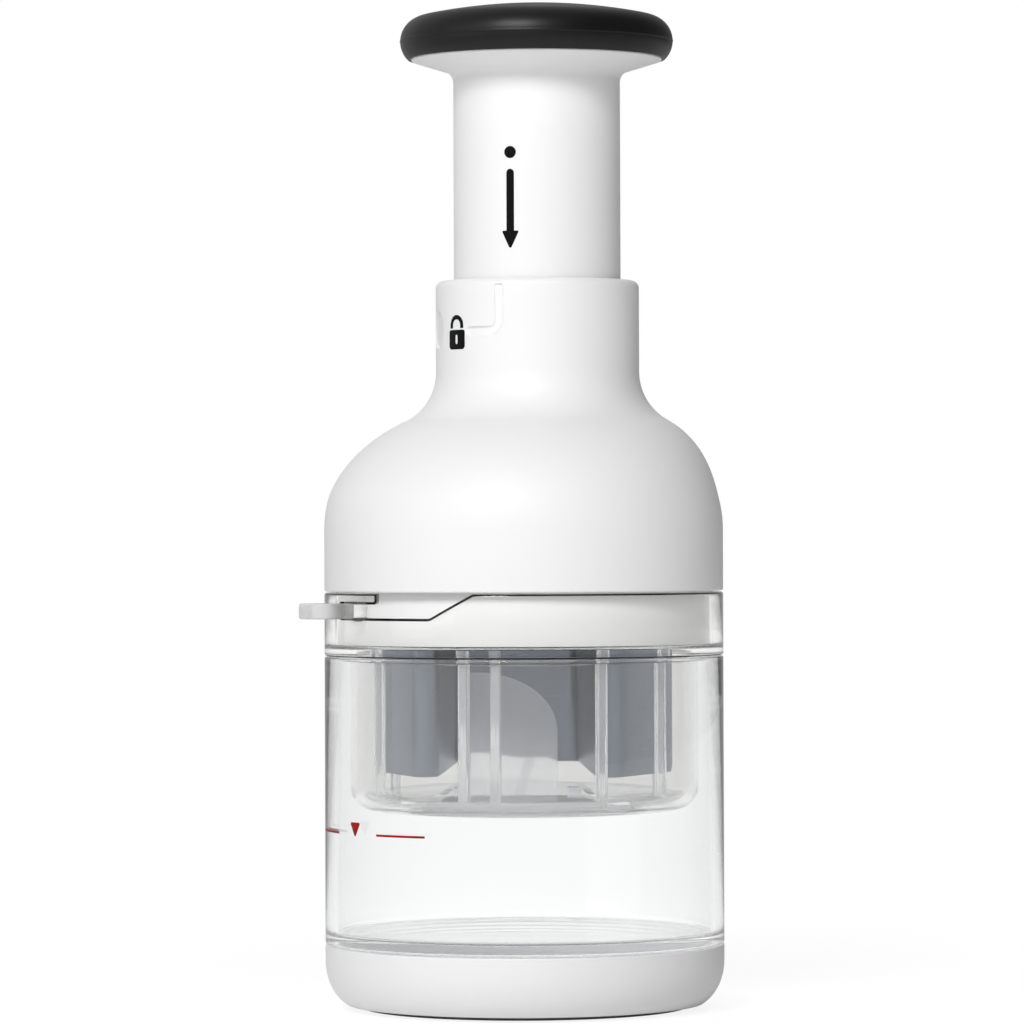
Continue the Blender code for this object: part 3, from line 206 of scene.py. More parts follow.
# %% Start a finish, and the noise that all finishes use
def new_finish(name, **constants):
    made = bpy.data.materials.new(name)
    made.use_nodes = True
    shader = made.node_tree.nodes["Principled BSDF"]
    for socket, value in constants.items():
        shader.inputs[socket.replace("_", " ")].default_value = value
    return made, Wire(made.node_tree), shader.inputs


def speckle(start, grain, detail=2.0, stretch=(1, 1, 1)):
    """Noise from 0 to 1 whose grains are this many millimetres across."""
    scaled = start.node("ShaderNodeMapping", sockets={"Vector": point_on(start), "Scale": stretch})
    sockets = {"Vector": scaled, "Scale": 1 / (grain * mm), "Detail": detail}
    return start.node("ShaderNodeTexNoise", sockets=sockets)


def bumped(start, height, tall):
    """A normal from heights of 0 to 1 that stand for this many millimetres."""
    return start.node("ShaderNodeBump", sockets={"Height": height, "Distance": tall * mm})


def varied(start, sockets, colour, roughness, relief, tall):
    """Feeds the three sockets that vary on every finish."""
    start.feed(sockets["Base Color"], colour)
    start.feed(sockets["Roughness"], roughness)
    start.feed(sockets["Normal"], bumped(start, relief, tall))


def overlaid(made, start, share, other):
    """The finish with this share of another shader mixed in."""
    own = Wire(start.tree, start.tree.nodes["Principled BSDF"].outputs[0])
    surface = start.node("ShaderNodeMixShader", sockets={0: share, 1: own, 2: other})
    start.feed(start.tree.nodes["Material Output"].inputs["Surface"], surface)
    return made


# %% [markdown]
# ### White plastic
#
# The bell, tube and base are moulded in one white plastic with a satin skin. Its gloss isn't even:
# the mould's polish leaves a faint orange peel of about a millimetre, and roughness wanders a
# little. A soft clear coat would be too glossy, so the skin alone makes the highlight.

# %% White plastic
def white_plastic():
    made, start, sockets = new_finish("satin white plastic", IOR=1.49)
    patches = speckle(start, 40.0)
    peel = speckle(start, 1.3, detail=3.0)
    roughness = patches.ramp(0.3, 0.7, 0.42, 0.48) + peel * 0.04
    varied(start, sockets, patches.between(grey(0.9), grey(0.88)), roughness, peel, 0.004)
    return made


white = white_plastic()
print(white.name, "has", len(white.node_tree.nodes), "nodes")

# %% [markdown]
# ### Natural plastic
#
# The pieces inside aren't seen in the shop, so they are moulded in plain uncoloured resin: a warm
# white that looks a little waxy.

# %% Natural plastic
def natural_plastic():
    made, start, sockets = new_finish("natural resin", IOR=1.51, Subsurface_Weight=0.1)
    sockets["Subsurface Radius"].default_value = (0.004, 0.0035, 0.003)
    patches = speckle(start, 9.0)
    colour = patches.between((0.82, 0.81, 0.77, 1), (0.77, 0.76, 0.71, 1))
    varied(start, sockets, colour, patches.ramp(0.2, 0.8, 0.4, 0.52), speckle(start, 0.8), 0.01)
    return made


natural = natural_plastic()
print(natural.name, "made")

# %% [markdown]
# ### Soft black rubber and grey rubber
#
# The knob has a soft skin moulded over a hard core. Soft rubber mirrors less than hard plastic does,
# so its gloss is turned down, and its pores are finer than half a millimetre. The foot and the seal
# are plain grey rubber with the same recipe and another colour.

# %% Rubbers
def rubber(name, dark, light, roughness, gloss):
    made, start, sockets = new_finish(name, Specular_IOR_Level=gloss)
    pores = speckle(start, 0.35, detail=4.0)
    smudge = speckle(start, 22.0)
    uneven = smudge.ramp(0.3, 0.7, roughness, roughness + 0.07) + pores * 0.05
    varied(start, sockets, smudge.between(dark, light), uneven, pores, 0.012)
    return made


soft_black = rubber("soft black rubber", (0.003, 0.003, 0.0035, 1), (0.006, 0.006, 0.007, 1), 0.34, 0.42)
foot_grey = rubber("grey foot rubber", grey(0.12), grey(0.16), 0.6, 0.4)
seal_grey = rubber("grey seal rubber", (0.6, 0.61, 0.63, 1), (0.68, 0.69, 0.7, 1), 0.5, 0.4)
print(soft_black.name, foot_grey.name, seal_grey.name, sep=", ")

# %% [markdown]
# ### Clear plastic
#
# A clear cup is seen by its edges. Light that runs along the wall comes out grey, so the colour is
# painted a little darker where the surface turns away, which a Layer Weight measures: painted shade.
# The broken edges of the ring and of its slot look nearly black, because the eye looks along the whole
# wall there, so they are painted black as shade. They are found by their normals, which point neither
# straight outwards nor square to that. On the frosted tab, the thick root is painted darker as shade.
# Real refraction bends the ribs and the blades behind them. A refracting wall would block every lamp
# and leave the inside black, so the last mix lets lamps and scattered light straight through.

# %% Clear plastic
def painted_edge_shade(start, radius, height):
    """1 on the rounded and chamfered edges of an upright wall beyond this radius and height: the mask for
    painted shade.
    """
    outward = start.vector("NORMALIZE", in_plan(start))
    normal = start.node("ShaderNodeTexCoord", take="Normal")
    slope = start.maths("ABSOLUTE", start.vector("DOT_PRODUCT", normal, outward, take="Value"))
    outer = off_axis(start).ramp((radius - 0.3) * mm, radius * mm)
    above = height_of(start).ramp((height - 1) * mm, height * mm)
    return slope.ramp(0.1, 0.3) * slope.ramp(0.93, 0.99, 1.0, 0.0) * outer * above


def ring_edge_shade_and_bowl(start, body):
    """The ring's edges are painted black as shade, and the bowl below it is a little smokier."""
    above = height_of(start).ramp((ring_bottom - 2.5) * mm, (ring_bottom - 1.5) * mm)
    body = above.between((0.875, 0.875, 0.865, 1), body)
    return painted_edge_shade(start, 42.0, ring_bottom - 1).between(body, grey(0.0))


def painted_root_shade(start, body):
    """Painted shade: the tab's thick collar and the root of its leaf are painted dark grey, which clears
    towards the tip.
    """
    leaf = off_axis(start).ramp(54.6 * mm, 61.0 * mm).between(grey(0.34), body)
    return off_axis(start).ramp(50.4 * mm, 51.4 * mm).between(body, leaf)


def clear_plastic(name, face, edge, roughness, haze, milk=0.0, power=3.0, tint=None):
    made, start, sockets = new_finish(name, IOR=1.5, Transmission_Weight=1 - milk)
    grazing_shade = start.node("ShaderNodeLayerWeight", sockets={"Blend": 0.5}, take="Facing") ** power
    flow = speckle(start, 30.0, detail=1.0)
    scuffs = speckle(start, 0.6, detail=3.0)
    # Painted shade: the colour greys where the surface turns away from the eye.
    body = grazing_shade.between(face, edge)
    # A tint paints shade: black on the guard's broken edges, dark grey at the tab's root.
    if tint:
        body = tint(start, body)
    varied(start, sockets, body, scuffs.ramp(0.45, 0.9, roughness, roughness + haze), flow, 0.02)
    straight = start.maths("MAXIMUM", asked_by(start, "Shadow"), asked_by(start, "Diffuse"))
    return overlaid(made, start, straight, start.node("ShaderNodeBsdfTransparent", sockets={"Color": face}))


clear = clear_plastic(
    "clear plastic", (0.985, 0.987, 0.988, 1), (0.79, 0.795, 0.8, 1),
    roughness=0.01, haze=0.02, power=1.4,
)
smoky = clear_plastic(
    "clear guard plastic", (0.99, 0.99, 0.985, 1), (0.95, 0.95, 0.94, 1),
    roughness=0.02, haze=0.03, milk=0.01, tint=ring_edge_shade_and_bowl,
)
milky = clear_plastic(
    "clear cage plastic", (0.94, 0.945, 0.955, 1), (0.9, 0.905, 0.92, 1),
    roughness=0.08, haze=0.02, milk=0.2,
)
frosted = clear_plastic(
    "frosted tab plastic", (0.98, 0.98, 0.98, 1), (0.9, 0.91, 0.92, 1),
    roughness=0.2, haze=0.06, milk=0.5, tint=painted_root_shade,
)
print(clear.name, smoky.name, milky.name, frosted.name, sep=", ")

# %% [markdown]
# ### Steel
#
# The blade is one strip of stainless steel, rolled and then bent. Rolling leaves fine scratches
# along the strip, so the noise is stretched level: long grains sideways, thin ones upwards. The
# spring, the rod and the screws take the same steel.

# %% Stainless steel
def stainless(name, tint, roughness):
    made, start, sockets = new_finish(name, Metallic=1.0)
    scratches = speckle(start, 1.0, detail=4.0, stretch=(0.12, 0.12, 5.0))
    clouds = speckle(start, 12.0)
    darker = tuple(0.86 * channel for channel in tint[:3]) + (1,)
    uneven = scratches.ramp(0.2, 0.8, roughness, roughness + 0.14)
    varied(start, sockets, clouds.between(tint, darker), uneven, scratches, 0.003)
    return made


blade_steel = stainless("rolled blade steel", (0.23, 0.265, 0.32, 1), 0.26)
plain_steel = stainless("plain steel", (0.6, 0.61, 0.63, 1), 0.2)
print(blade_steel.name, plain_steel.name, sep=", ")

# %% [markdown]
# ### Printing ink
#
# The marks are pad-printed: a film of ink a few hundredths of a millimetre thick, with a slightly
# uneven gloss.

# %% Inks
def ink(name, colour):
    made, start, sockets = new_finish(name, Specular_IOR_Level=0.15)
    thin = speckle(start, 0.5)
    paler = tuple(min(1.0, channel * 1.25 + 0.001) for channel in colour[:3]) + (1,)
    varied(start, sockets, thin.between(colour, paler), thin.ramp(0.2, 0.8, 0.34, 0.48), thin, 0.003)
    return made


black_ink = ink("black ink", (0.0015, 0.0015, 0.002, 1))
red_ink = ink("red ink", (0.3, 0.003, 0.004, 1))
print(black_ink.name, red_ink.name, sep=", ")

# %% [markdown]
# ## Outlines and turning
#
# Nearly every visible piece is turned about an upright axis, so its shape is one closed outline of
# radius and height. Moulded edges are never sharp: a corner is written with the radius of its
# rounding, and a helper turns it into an arc. Those small arcs catch the thin highlights that make
# plastic look moulded.

# %% Round the corners of an outline
def box_corners(left, right, low, high, low_round=0, high_round=0):
    low_side = [(left, low, low_round), (right, low, low_round)]
    return low_side + [(right, high, high_round), (left, high, high_round)]


def spread(first, last, parts):
    """Evenly spread values from the first to the last, both included."""
    return [first + (last - first) * i / parts for i in range(parts + 1)]


def arc(centre, radius, start_deg, end_deg, facets):
    """Points of an arc, each with no rounding of its own."""
    turns = [radians(degree) for degree in spread(start_deg, end_deg, facets)]
    return [(centre[0] + radius * cos(t), centre[1] + radius * sin(t), 0) for t in turns]


def corner_arc(before, corner, after, radius, facets):
    """The arc that rounds the corner between two straight sides."""
    back, ahead = (before - corner).normalized(), (after - corner).normalized()
    half = back.angle(ahead) / 2
    centre = corner + (back + ahead).normalized() * radius / sin(half)
    arm = corner + back * radius / tan(half) - centre
    sweep = (pi - 2 * half) * (-1 if back.cross(ahead) > 0 else 1)
    return [centre + Matrix.Rotation(sweep * i / facets, 2) @ arm for i in range(facets + 1)]


def rounded(corners, facets=5):
    """A closed outline from (x, y, rounding) corners."""
    spots = [Vector(corner[:2]) for corner in corners]
    outline = []
    for before, spot, after, corner in zip(spots[-1:] + spots, spots, spots[1:] + spots[:1], corners):
        outline += corner_arc(before, spot, after, corner[2], facets) if corner[2] else [spot]
    return outline


# %% Turn an outline into a mesh
def even_angles(steps):
    return spread(0, 2 * pi, steps)[:-1]


def polar(radius, angle):
    return Vector((radius * cos(angle), radius * sin(angle)))


def about_z(angle):
    return Matrix.Rotation(angle, 4, "Z")


def finished(shape):
    """The mesh of a bmesh, with every face looking outwards."""
    bmesh.ops.recalc_face_normals(shape, faces=shape.faces)
    mesh = bpy.data.meshes.new("shape")
    shape.to_mesh(mesh)
    shape.free()
    return mesh


def skin(shape, rings):
    """Faces between each ring of corners and the next. Where a ring is one point they are triangles."""
    for one, two in zip(rings, rings[1:]):
        for i in range(len(one)):
            j = (i + 1) % len(one)
            corners = list(dict.fromkeys((one[i], one[j], two[j], two[i])))
            if len(corners) > 2:
                shape.faces.new(corners)


def turned(outline, angles=None, shift=None):
    """Turns an outline about Z. A shift moves each point, given its angle, radius and height."""
    angles = angles or even_angles(192)
    shift = shift or (lambda angle, radius, height: (radius, 0.0))
    shape = bmesh.new()
    rings = []
    for radius, height in outline:
        if radius < 0.001:
            rings.append([shape.verts.new((0, 0, height * mm))] * len(angles))
            continue
        ring = []
        for angle in angles:
            reach, back = shift(angle, radius, height)
            spot = Vector((reach * cos(angle), reach * sin(angle) + back, height))
            ring.append(shape.verts.new(spot * mm))
        rings.append(ring)
    skin(shape, rings + rings[:1])
    return finished(shape)


# %% [markdown]
# ## Putting a piece on its body
#
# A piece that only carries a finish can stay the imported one. A finer piece stands in for the packed
# one and rides on the same body, so it moves with it. Smooth shading is limited by an angle: the
# round walls look round and the rims stay crisp.

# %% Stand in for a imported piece
def smooth(mesh, limit_deg=32):
    mesh.shade_smooth()
    mesh.set_sharp_from_angle(angle=radians(limit_deg))


def place(name, mesh, finish, body, stands_for=()):
    piece = bpy.data.objects.new(name, mesh)
    mesh.name = name
    mesh.materials.clear()
    mesh.materials.append(finish)
    smooth(mesh)
    scene.collection.objects.link(piece)
    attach(piece, body)
    if stands_for:
        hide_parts(*stands_for)
    print(f"{name}: {len(mesh.polygons)} faces on {body}")
    return piece


# %% [markdown]
# ## Base, foot and seal
#
# The white base is a shallow cap that curves in towards the table. It could be a scaled cylinder
# with bevels, but an outline gives the quarter ellipse of its side and the spigot's seat inside in
# one go. The grey foot stands a millimetre proud below, and the seal sits on the ledge inside.

# %% The base and what sits in it
base_wall, spigot_wall = 2.8, 2.6
side_width, side_height = 9.0, 12.0
foot_radius = radius_of("non_slip_foot")
foot_seat = base_bottom + 0.8
seal_ledge = heights("base_seal")[0] - gap
base_floor = foot_seat + 2.5
base_inner = body_radius - base_wall


def base_outline():
    turns = spread(0, -asin((side_height - base_bottom) / side_height), 24)
    centre = body_radius - side_width
    side = [(centre + side_width * cos(t), side_height + side_height * sin(t), 0) for t in turns]
    return rounded([
        (body_radius, base_top, 0.4),
        *side,
        (foot_radius + gap, base_bottom, 0.2),
        (foot_radius + gap, foot_seat, 0.1),
        (0, foot_seat, 0),
        (0, base_floor, 0),
        (base_inner - spigot_wall, base_floor, 0.5),
        (base_inner - spigot_wall, seal_ledge, 0.2),
        (base_inner, seal_ledge, 0.2),
        (base_inner, base_top, 0.3),
    ])


def flat_ring(inner, outer, low, high, rounding):
    """A plain ring, or a disc where the inner radius is 0."""
    edge = rounding if inner else 0
    outline = [(inner, high, edge), (outer, high, rounding), (outer, low, rounding), (inner, low, edge)]
    return turned(rounded(outline))


place("white_base", turned(base_outline()), white, "base", ["base_shell"])
foot = flat_ring(0, foot_radius, *heights("non_slip_foot"), 0.3)
place("grey_foot", foot, foot_grey, "base", ["non_slip_foot"])
seal_radii = (base_inner - spigot_wall, radius_of("base_seal"))
seal = flat_ring(*seal_radii, *heights("base_seal"), 0.5)
place("cup_seal", seal, seal_grey, "base", ["base_seal"])

# %% [markdown]
# ## The clear cup
#
# One turned outline again: a 3 mm wall, a thick floor that runs into it with a small fillet, and the
# spigot that drops into the base. For glass the outline must be one closed wall, because light is
# bent on the way in and on the way out.

# %% The cup
cup_floor, floor_thickness = 18.9, 4.5
spigot_radius = base_inner - gap

cup_outline = rounded([
    (0, cup_floor, 0),
    (cup_inner, cup_floor, 1.2),
    (cup_inner, cup_rim, 0.3),
    (body_radius, cup_rim, 0.3),
    (body_radius, base_top + gap, 0.6),
    (spigot_radius, base_top + gap, 0.3),
    (spigot_radius, cup_foot, 0.5),
    (spigot_radius - spigot_wall, cup_foot, 0.5),
    (spigot_radius - spigot_wall, cup_floor - floor_thickness, 0.8),
    (0, cup_floor - floor_thickness, 0),
], facets=8)
place("clear_cup", turned(cup_outline), clear, "cup_body", ["cup"])

# %% [markdown]
# ## The blade guard
#
# A clear ring with a deep bowl below it. The bell's tab locks into a slot in the ring: a level
# channel with a mouth that opens upwards on one side and a ramp that guides the tab in. The slot is
# drawn flat, as a rounded outline of arc length and height, and then lofted through the wall.

# %% Draw the slot and cut it out
slot_low, slot_high = ring_top - 6.05, ring_top - 2.65
ring_wall = 2.9
ring_inner = body_radius - ring_wall
tab_turn = radians(-90)
slot_end_deg, mouth_deg, ramp_foot_deg, ramp_top_deg = -5.2, 14.2, 33.0, 46.0


def slot_outline():
    per_degree = body_radius * radians(1)
    above = 2.0
    ramp = (ramp_top_deg - ramp_foot_deg) / (ring_top - slot_low)
    return rounded([
        (slot_end_deg * per_degree, slot_low, 1.1),
        (ramp_foot_deg * per_degree, slot_low, 2.0),
        ((ramp_top_deg + ramp * above) * per_degree, ring_top + above, 0),
        (mouth_deg * per_degree, ring_top + above, 0),
        (mouth_deg * per_degree, slot_high, 1.0),
        (slot_end_deg * per_degree, slot_high, 1.1),
    ])


def finer(outline, step):
    """The same closed outline with more points on its long sides, so that it can bend."""
    points = []
    for one, two in zip(outline, outline[1:] + outline[:1]):
        parts = ceil((two - one).length / step)
        points += [one.lerp(two, i / parts) for i in range(parts)]
    return points


def grown(outline, extra):
    """A counter-clockwise outline pushed outwards by a small distance."""
    pushed = []
    for i, spot in enumerate(outline):
        along = (outline[(i + 1) % len(outline)] - outline[i - 1]).normalized()
        pushed.append(spot + Vector((along.y, -along.x)) * extra)
    return pushed


def pulled(spot, pull, radius):
    """Where the line through a spot, along the pull, crosses a circle of this radius."""
    along = spot.dot(pull)
    return spot + pull * (sqrt(along**2 - spot.length_squared + radius**2) - along)


def slot_cutter(outline, wall_inner, wall_outer, turn, pull_turn):
    """A tool that cuts a flat outline of arc length and height through a round wall.

    All its sides run along one direction, as a mould's side core does when it is pulled out. It
    widens at the outer face of the wall, which breaks the edges of the cut.
    """
    pull, past, broken = polar(1, pull_turn), 4, 0.65
    stations = [
        (wall_inner - past, 0),
        (wall_outer - broken, 0),
        (wall_outer, broken),
        (wall_outer + past, broken),
    ]
    shape = bmesh.new()
    rings = []
    for radius, extra in stations:
        ring = []
        for along, height in grown(outline, extra):
            spot = pulled(polar(body_radius, turn + along / body_radius), pull, radius)
            ring.append(shape.verts.new((spot.x * mm, spot.y * mm, height * mm)))
        rings.append(ring)
    shape.faces.new(rings[0])
    shape.faces.new(rings[-1])
    skin(shape, rings)
    return finished(shape)


def worked_out(item):
    """The mesh that an object or a curve comes to with its modifiers. The item itself goes."""
    scene.collection.objects.link(item)
    bpy.context.view_layer.update()
    mesh = bpy.data.meshes.new_from_object(item.evaluated_get(bpy.context.evaluated_depsgraph_get()))
    bpy.data.objects.remove(item, do_unlink=True)
    return mesh


def carve(mesh, tool_mesh, operation="DIFFERENCE"):
    """The mesh with the tool cut from it or joined to it."""
    piece = bpy.data.objects.new("blank", mesh)
    tool = bpy.data.objects.new("tool", tool_mesh)
    scene.collection.objects.link(tool)
    step = piece.modifiers.new("Cut", "BOOLEAN")
    step.object, step.operation, step.solver = tool, operation, "EXACT"
    result = worked_out(piece)
    bpy.data.objects.remove(tool, do_unlink=True)
    return result


def joined(mesh, parts):
    for part in parts:
        mesh = carve(mesh, part, "UNION")
    return mesh


# %% Turn the guard
bowl_radius, bowl_wall, bowl_corner = 44.3, 1.6, 6.0
flange_top = ring_top - 13.4
lip_inner, lip_top, seat_radius = 38.3, bowl_bottom + 1.6, 40.9
rim_bottom = ring_bottom - 1.4
inner_corner = bowl_corner - bowl_wall
corner_centre = (bowl_radius - bowl_corner, bowl_bottom + bowl_corner)
seat_run = seat_radius - corner_centre[0]
seat_deg = -degrees(atan2(sqrt(inner_corner**2 - seat_run**2), seat_run))

guard_outline = rounded([
    (ring_inner, ring_top, 0.5),
    (body_radius, ring_top, 0.7),
    (body_radius, ring_bottom, 0.55),
    (cup_inner - gap, ring_bottom, 0.2),
    (cup_inner - gap, rim_bottom, 0.4),
    (bowl_radius, rim_bottom, 0.8),
    (bowl_radius, bowl_bottom, bowl_corner - 0.3),
    (lip_inner, bowl_bottom, 0.4),
    (lip_inner, lip_top, 0.4),
    (seat_radius, lip_top, 0),
    *arc(corner_centre, inner_corner, seat_deg, 0, 8),
    (bowl_radius - bowl_wall, flange_top, 0.6),
    (ring_inner, flange_top, 0.6),
], facets=8)
guard = turned(guard_outline, even_angles(288))
pull_turn = tab_turn + radians(50)
slot_tool = slot_cutter(finer(slot_outline(), 1.0), ring_inner, body_radius, tab_turn, pull_turn)
place("clear_guard", carve(guard, slot_tool), smoky, "guard", ["blade_guard"])

# %% [markdown]
# ## The white bell
#
# The bell rises from the ring, rolls over in a wide shoulder and runs up into the collar. The
# collar's axis stands a few millimetres behind the cup's, so each level of the turned shape slides
# back a little as it rises. The collar carries a thin groove shaped like a J and a round thumb
# mark. Both are pressed into the mesh itself: the angles and heights are fine there and coarse
# elsewhere, and the shift function lowers the radius inside them.

# %% Relief on the collar
shell_wall, shoulder_radius, neck_fillet = 2.0, 30.8, 14.0
straight_top = shell_foot + 15.5
collar_radius, collar_round, guide_radius = 25.85, 1.9, 21.5
shoulder_at = body_radius - shoulder_radius
fillet_at = collar_radius + neck_fillet
fillet_height = straight_top + sqrt((shoulder_radius + neck_fillet) ** 2 - (fillet_at - shoulder_at) ** 2)
camera_deg = -29.5
groove_turn, groove_end, groove_height, groove_corner = -52.0, -70.8, 170.8, 2.6
groove_half, groove_depth = 1.15, 0.6
dimple_turn, dimple_height, dimple_radius, dimple_depth = -107.0, shell_top - 12.5, 4.7, 0.7


def groove_path():
    """The J in arc length and height, from the collar's top down and round to its end."""
    across = [radians(turn) * collar_radius for turn in (groove_turn, groove_end)]
    corner = (across[0] - groove_corner, groove_height + groove_corner)
    bend = [(x, y) for x, y, _ in arc(corner, groove_corner, 0, -90, 8)]
    return [Vector(spot) for spot in [(across[0], shell_top - 2.2), *bend, (across[1], groove_height)]]


def distance_to(path, spot):
    best = 1e9
    for one, two in zip(path, path[1:]):
        along = max(0.0, min(1.0, (spot - one).dot(two - one) / (two - one).length_squared))
        best = min(best, (spot - one.lerp(two, along)).length)
    return best


groove = groove_path()
lean_start, lean_height, lean_power = 7.6, 20.3, 1.5
relief_from = 160


def eased(value):
    value = max(0.0, min(1.0, value))
    return value * value * (3 - 2 * value)


def lean(height):
    """How far back the shell's section at a height stands."""
    share = min(1.0, max(0.0, (height - straight_top - lean_start) / lean_height))
    return neck_offset * share**lean_power


def bell_shift(angle, radius, height):
    back = lean(height)
    if height < relief_from or radius < collar_radius - 0.01:
        return radius, back
    turn = (angle + pi) % (2 * pi) - pi
    spot = Vector((turn * collar_radius, height))
    depth = groove_depth * (1 - eased((distance_to(groove, spot) - groove_half + 0.3) / 0.4))
    away = turn - radians(dimple_turn)
    from_dimple = hypot(collar_radius * sin(away), height - dimple_height)
    if abs(away) < 1 and from_dimple < dimple_radius + 0.3:
        flat = radius - (collar_radius - dimple_depth) / cos(away)
        depth = max(depth, flat * (1 - eased((from_dimple - dimple_radius + 0.3) / 0.5)))
    return radius - max(0.0, depth), back


# %% Turn the bell
def bell_angles():
    """Coarse all round, and fine where the groove and the thumb mark are."""
    fine_from, fine_to = radians(dimple_turn - 14), radians(groove_turn + 6)
    return spread(fine_from, fine_to, 150)[:-1] + spread(fine_to, fine_from + 2 * pi, 150)[:-1]


def bell_outline():
    roll = degrees(atan2(fillet_height - straight_top, fillet_at - shoulder_at))
    inner_facets = 10
    levels = [shell_top - collar_round - 0.22 * i for i in range(1, 72)]
    return rounded([
        (guide_radius + 0.1, shell_top, 0.3),
        *arc((collar_radius - collar_round, shell_top - collar_round), collar_round, 90, 0, 8),
        *[(collar_radius, level, 0) for level in levels if level > fillet_height + 0.1],
        *arc((fillet_at, fillet_height), neck_fillet, 180, 180 + roll, 20),
        *arc((shoulder_at, straight_top), shoulder_radius, roll, 0, 44)[1:],
        (body_radius, shell_foot, 0.5),
        (body_radius - shell_wall, shell_foot, 0.4),
        *arc((shoulder_at, straight_top), shoulder_radius - shell_wall, 0, roll, inner_facets),
        *arc((fillet_at, fillet_height), neck_fillet + shell_wall, 180 + roll, 180, inner_facets)[1:],
        (collar_radius - shell_wall, shell_top - shell_wall, 0.3),
        (guide_radius + 0.1, shell_top - shell_wall, 0.2),
    ])


bell = turned(bell_outline(), bell_angles(), bell_shift)
place("white_bell", bell, white, "housing", ["body_shell"])

# %% [markdown]
# ## The plunger tube
#
# A plain tube that flares into a shallow cone under the knob. The flare starts with a 3 mm fillet
# and ends in a rim that the soft grip hangs over.

# %% The tube and its flare
plunger_radius, plunger_wall = 21.2, 2.5
flare_radius, flare_rise, flare_fillet = 31.9, radians(17.3), 3.0
flare_rim = flare_top - 2.6
flare_start = flare_rim - (flare_radius - plunger_radius) * tan(flare_rise)
tube_inner, ledge_width = plunger_radius - plunger_wall, 1.5
disc_ledge = heights("push_disc")[0] - gap

tube_outline = rounded([
    (tube_inner, flare_top, 0.4),
    (flare_radius - 0.4, flare_top, 0.3),
    (flare_radius, flare_rim, 0.3),
    (plunger_radius, flare_start, flare_fillet),
    (plunger_radius, tube_bottom, 0.5),
    (tube_inner - ledge_width, tube_bottom, 0.4),
    (tube_inner - ledge_width, disc_ledge, 0.3),
    (tube_inner, disc_ledge, 0.2),
], facets=8)


def lug_block():
    """The lock's lug, a block on the tube's foot."""
    shape = bmesh.new()
    bmesh.ops.create_cube(shape, size=1.0)
    deep, wide, tall, bite, lug_turn = 2.1, 7.0, 3.28, 1.25, radians(-48)
    middle = Vector((plunger_radius - bite + deep / 2, 0, tube_bottom + 0.02 + tall / 2))
    shape.transform(Matrix.Diagonal((deep * mm, wide * mm, tall * mm, 1)))
    shape.transform(about_z(lug_turn) @ Matrix.Translation(middle * mm))
    return finished(shape)


tube = joined(turned(tube_outline), [lug_block()])
tube.transform(Matrix.Translation(neck))
place("white_tube", tube, white, "knob", ["plunger_tube"])

# %% [markdown]
# ## The soft grip
#
# A shallow dome with a fat round edge. Two mould halves meet on the widest ring and leave a hair-thin
# raised line, which is drawn as a tiny bump in the outline.

# %% The grip
grip_edge, dome_radius, grip_lower_deg = 6.4, 144.0, -46
seam_half, seam_proud = 0.3, 0.1
edge_height = flare_rim + 4.9
edge_at = grip_radius - grip_edge
core_radius, core_top = radius_of("knob_core"), heights("knob_core")[1]


def grip_outline():
    dome_low = grip_top - dome_radius
    meet = degrees(atan2(edge_height - dome_low, edge_at))
    dome = arc((0, dome_low), dome_radius, 90, meet, 16)
    edge = []
    for x, y, _ in arc((edge_at, edge_height), grip_edge, meet, grip_lower_deg, 130)[1:]:
        off_seam = (y - edge_height) / seam_half
        edge.append((x + seam_proud * max(0.0, 1 - off_seam**2), y, 0))
    pocket = flare_radius - 0.4 + gap
    lip = edge[-1][1]
    return rounded([
        *dome,
        *edge,
        (pocket, lip, 0.4),
        (pocket, flare_top + gap, 0),
        (core_radius + gap, flare_top + gap, 0),
        (core_radius + gap, core_top + gap, 0),
        (0, core_top + gap, 0),
    ])


grip = turned(grip_outline())
grip.transform(Matrix.Translation(neck))
place("soft_grip", grip, soft_black, "knob", ["knob_grip"])

# %% [markdown]
# ## The release tab
#
# A frosted tongue that reaches out through the ring's slot. It has three parts: the neck in the
# slot, a thicker collar that rests on the ring, and the thin rounded leaf that a thumb pushes. Each
# is a rounded plan outline with a height, and they are joined into one piece.

# %% The tab
tab_low, tab_high = slot_low + 0.1, slot_high - 0.1
skirt_inner = 44.8


def slab(corners, low, high, rounding):
    """A flat outline in plan with a height and softened edges."""
    shape = bmesh.new()
    outline = rounded(corners)
    face = shape.faces.new([shape.verts.new((x * mm, y * mm, low * mm)) for x, y in outline])
    copied = bmesh.ops.extrude_face_region(shape, geom=[face])["geom"]
    lifted = [item for item in copied if isinstance(item, bmesh.types.BMVert)]
    bmesh.ops.translate(shape, verts=lifted, vec=(0, 0, (high - low) * mm))
    rims = [edge for edge in shape.edges if abs(edge.verts[0].co.z - edge.verts[1].co.z) < 1e-7]
    bmesh.ops.bevel(shape, geom=rims, offset=rounding * mm, segments=3, profile=0.5, affect="EDGES")
    return finished(shape)


def tab_part(half, near, far, rounds, thicker, edge):
    """A part as wide as twice its half, which points towards the tab's tip."""
    outline = box_corners(-half, half, -near, -far, *rounds)
    return slab(outline, tab_low - thicker, tab_high + thicker, edge)


collar_near, collar_far = body_radius + gap, body_radius + gap + 3.4
tab_tip = -low_high("release_tab")[0].y
tab_neck = tab_part(3.5, skirt_inner, collar_far - gap, (0.4, 0.4), 0, 0.25)
tab_collar = tab_part(4.5, collar_near, collar_far, (0.6, 0.6), 0.3, 0.5)
tab_leaf = tab_part(5.3, collar_far - gap, tab_tip, (0.5, 3.4), 0.35, 0.6)
tab = joined(tab_neck, [tab_collar, tab_leaf])
place("frosted_tab", tab, frosted, "housing", ["release_tab"])

# %% [markdown]
# ## The blade
#
# One strip of steel, folded into a zigzag with bends of 3 mm. It is a path in plan, thickened to
# both sides and stood upright. Its lower edge is ground to a bevel on both faces, which a plain
# extrusion would miss, so each side's last 1.6 mm runs in towards the middle.

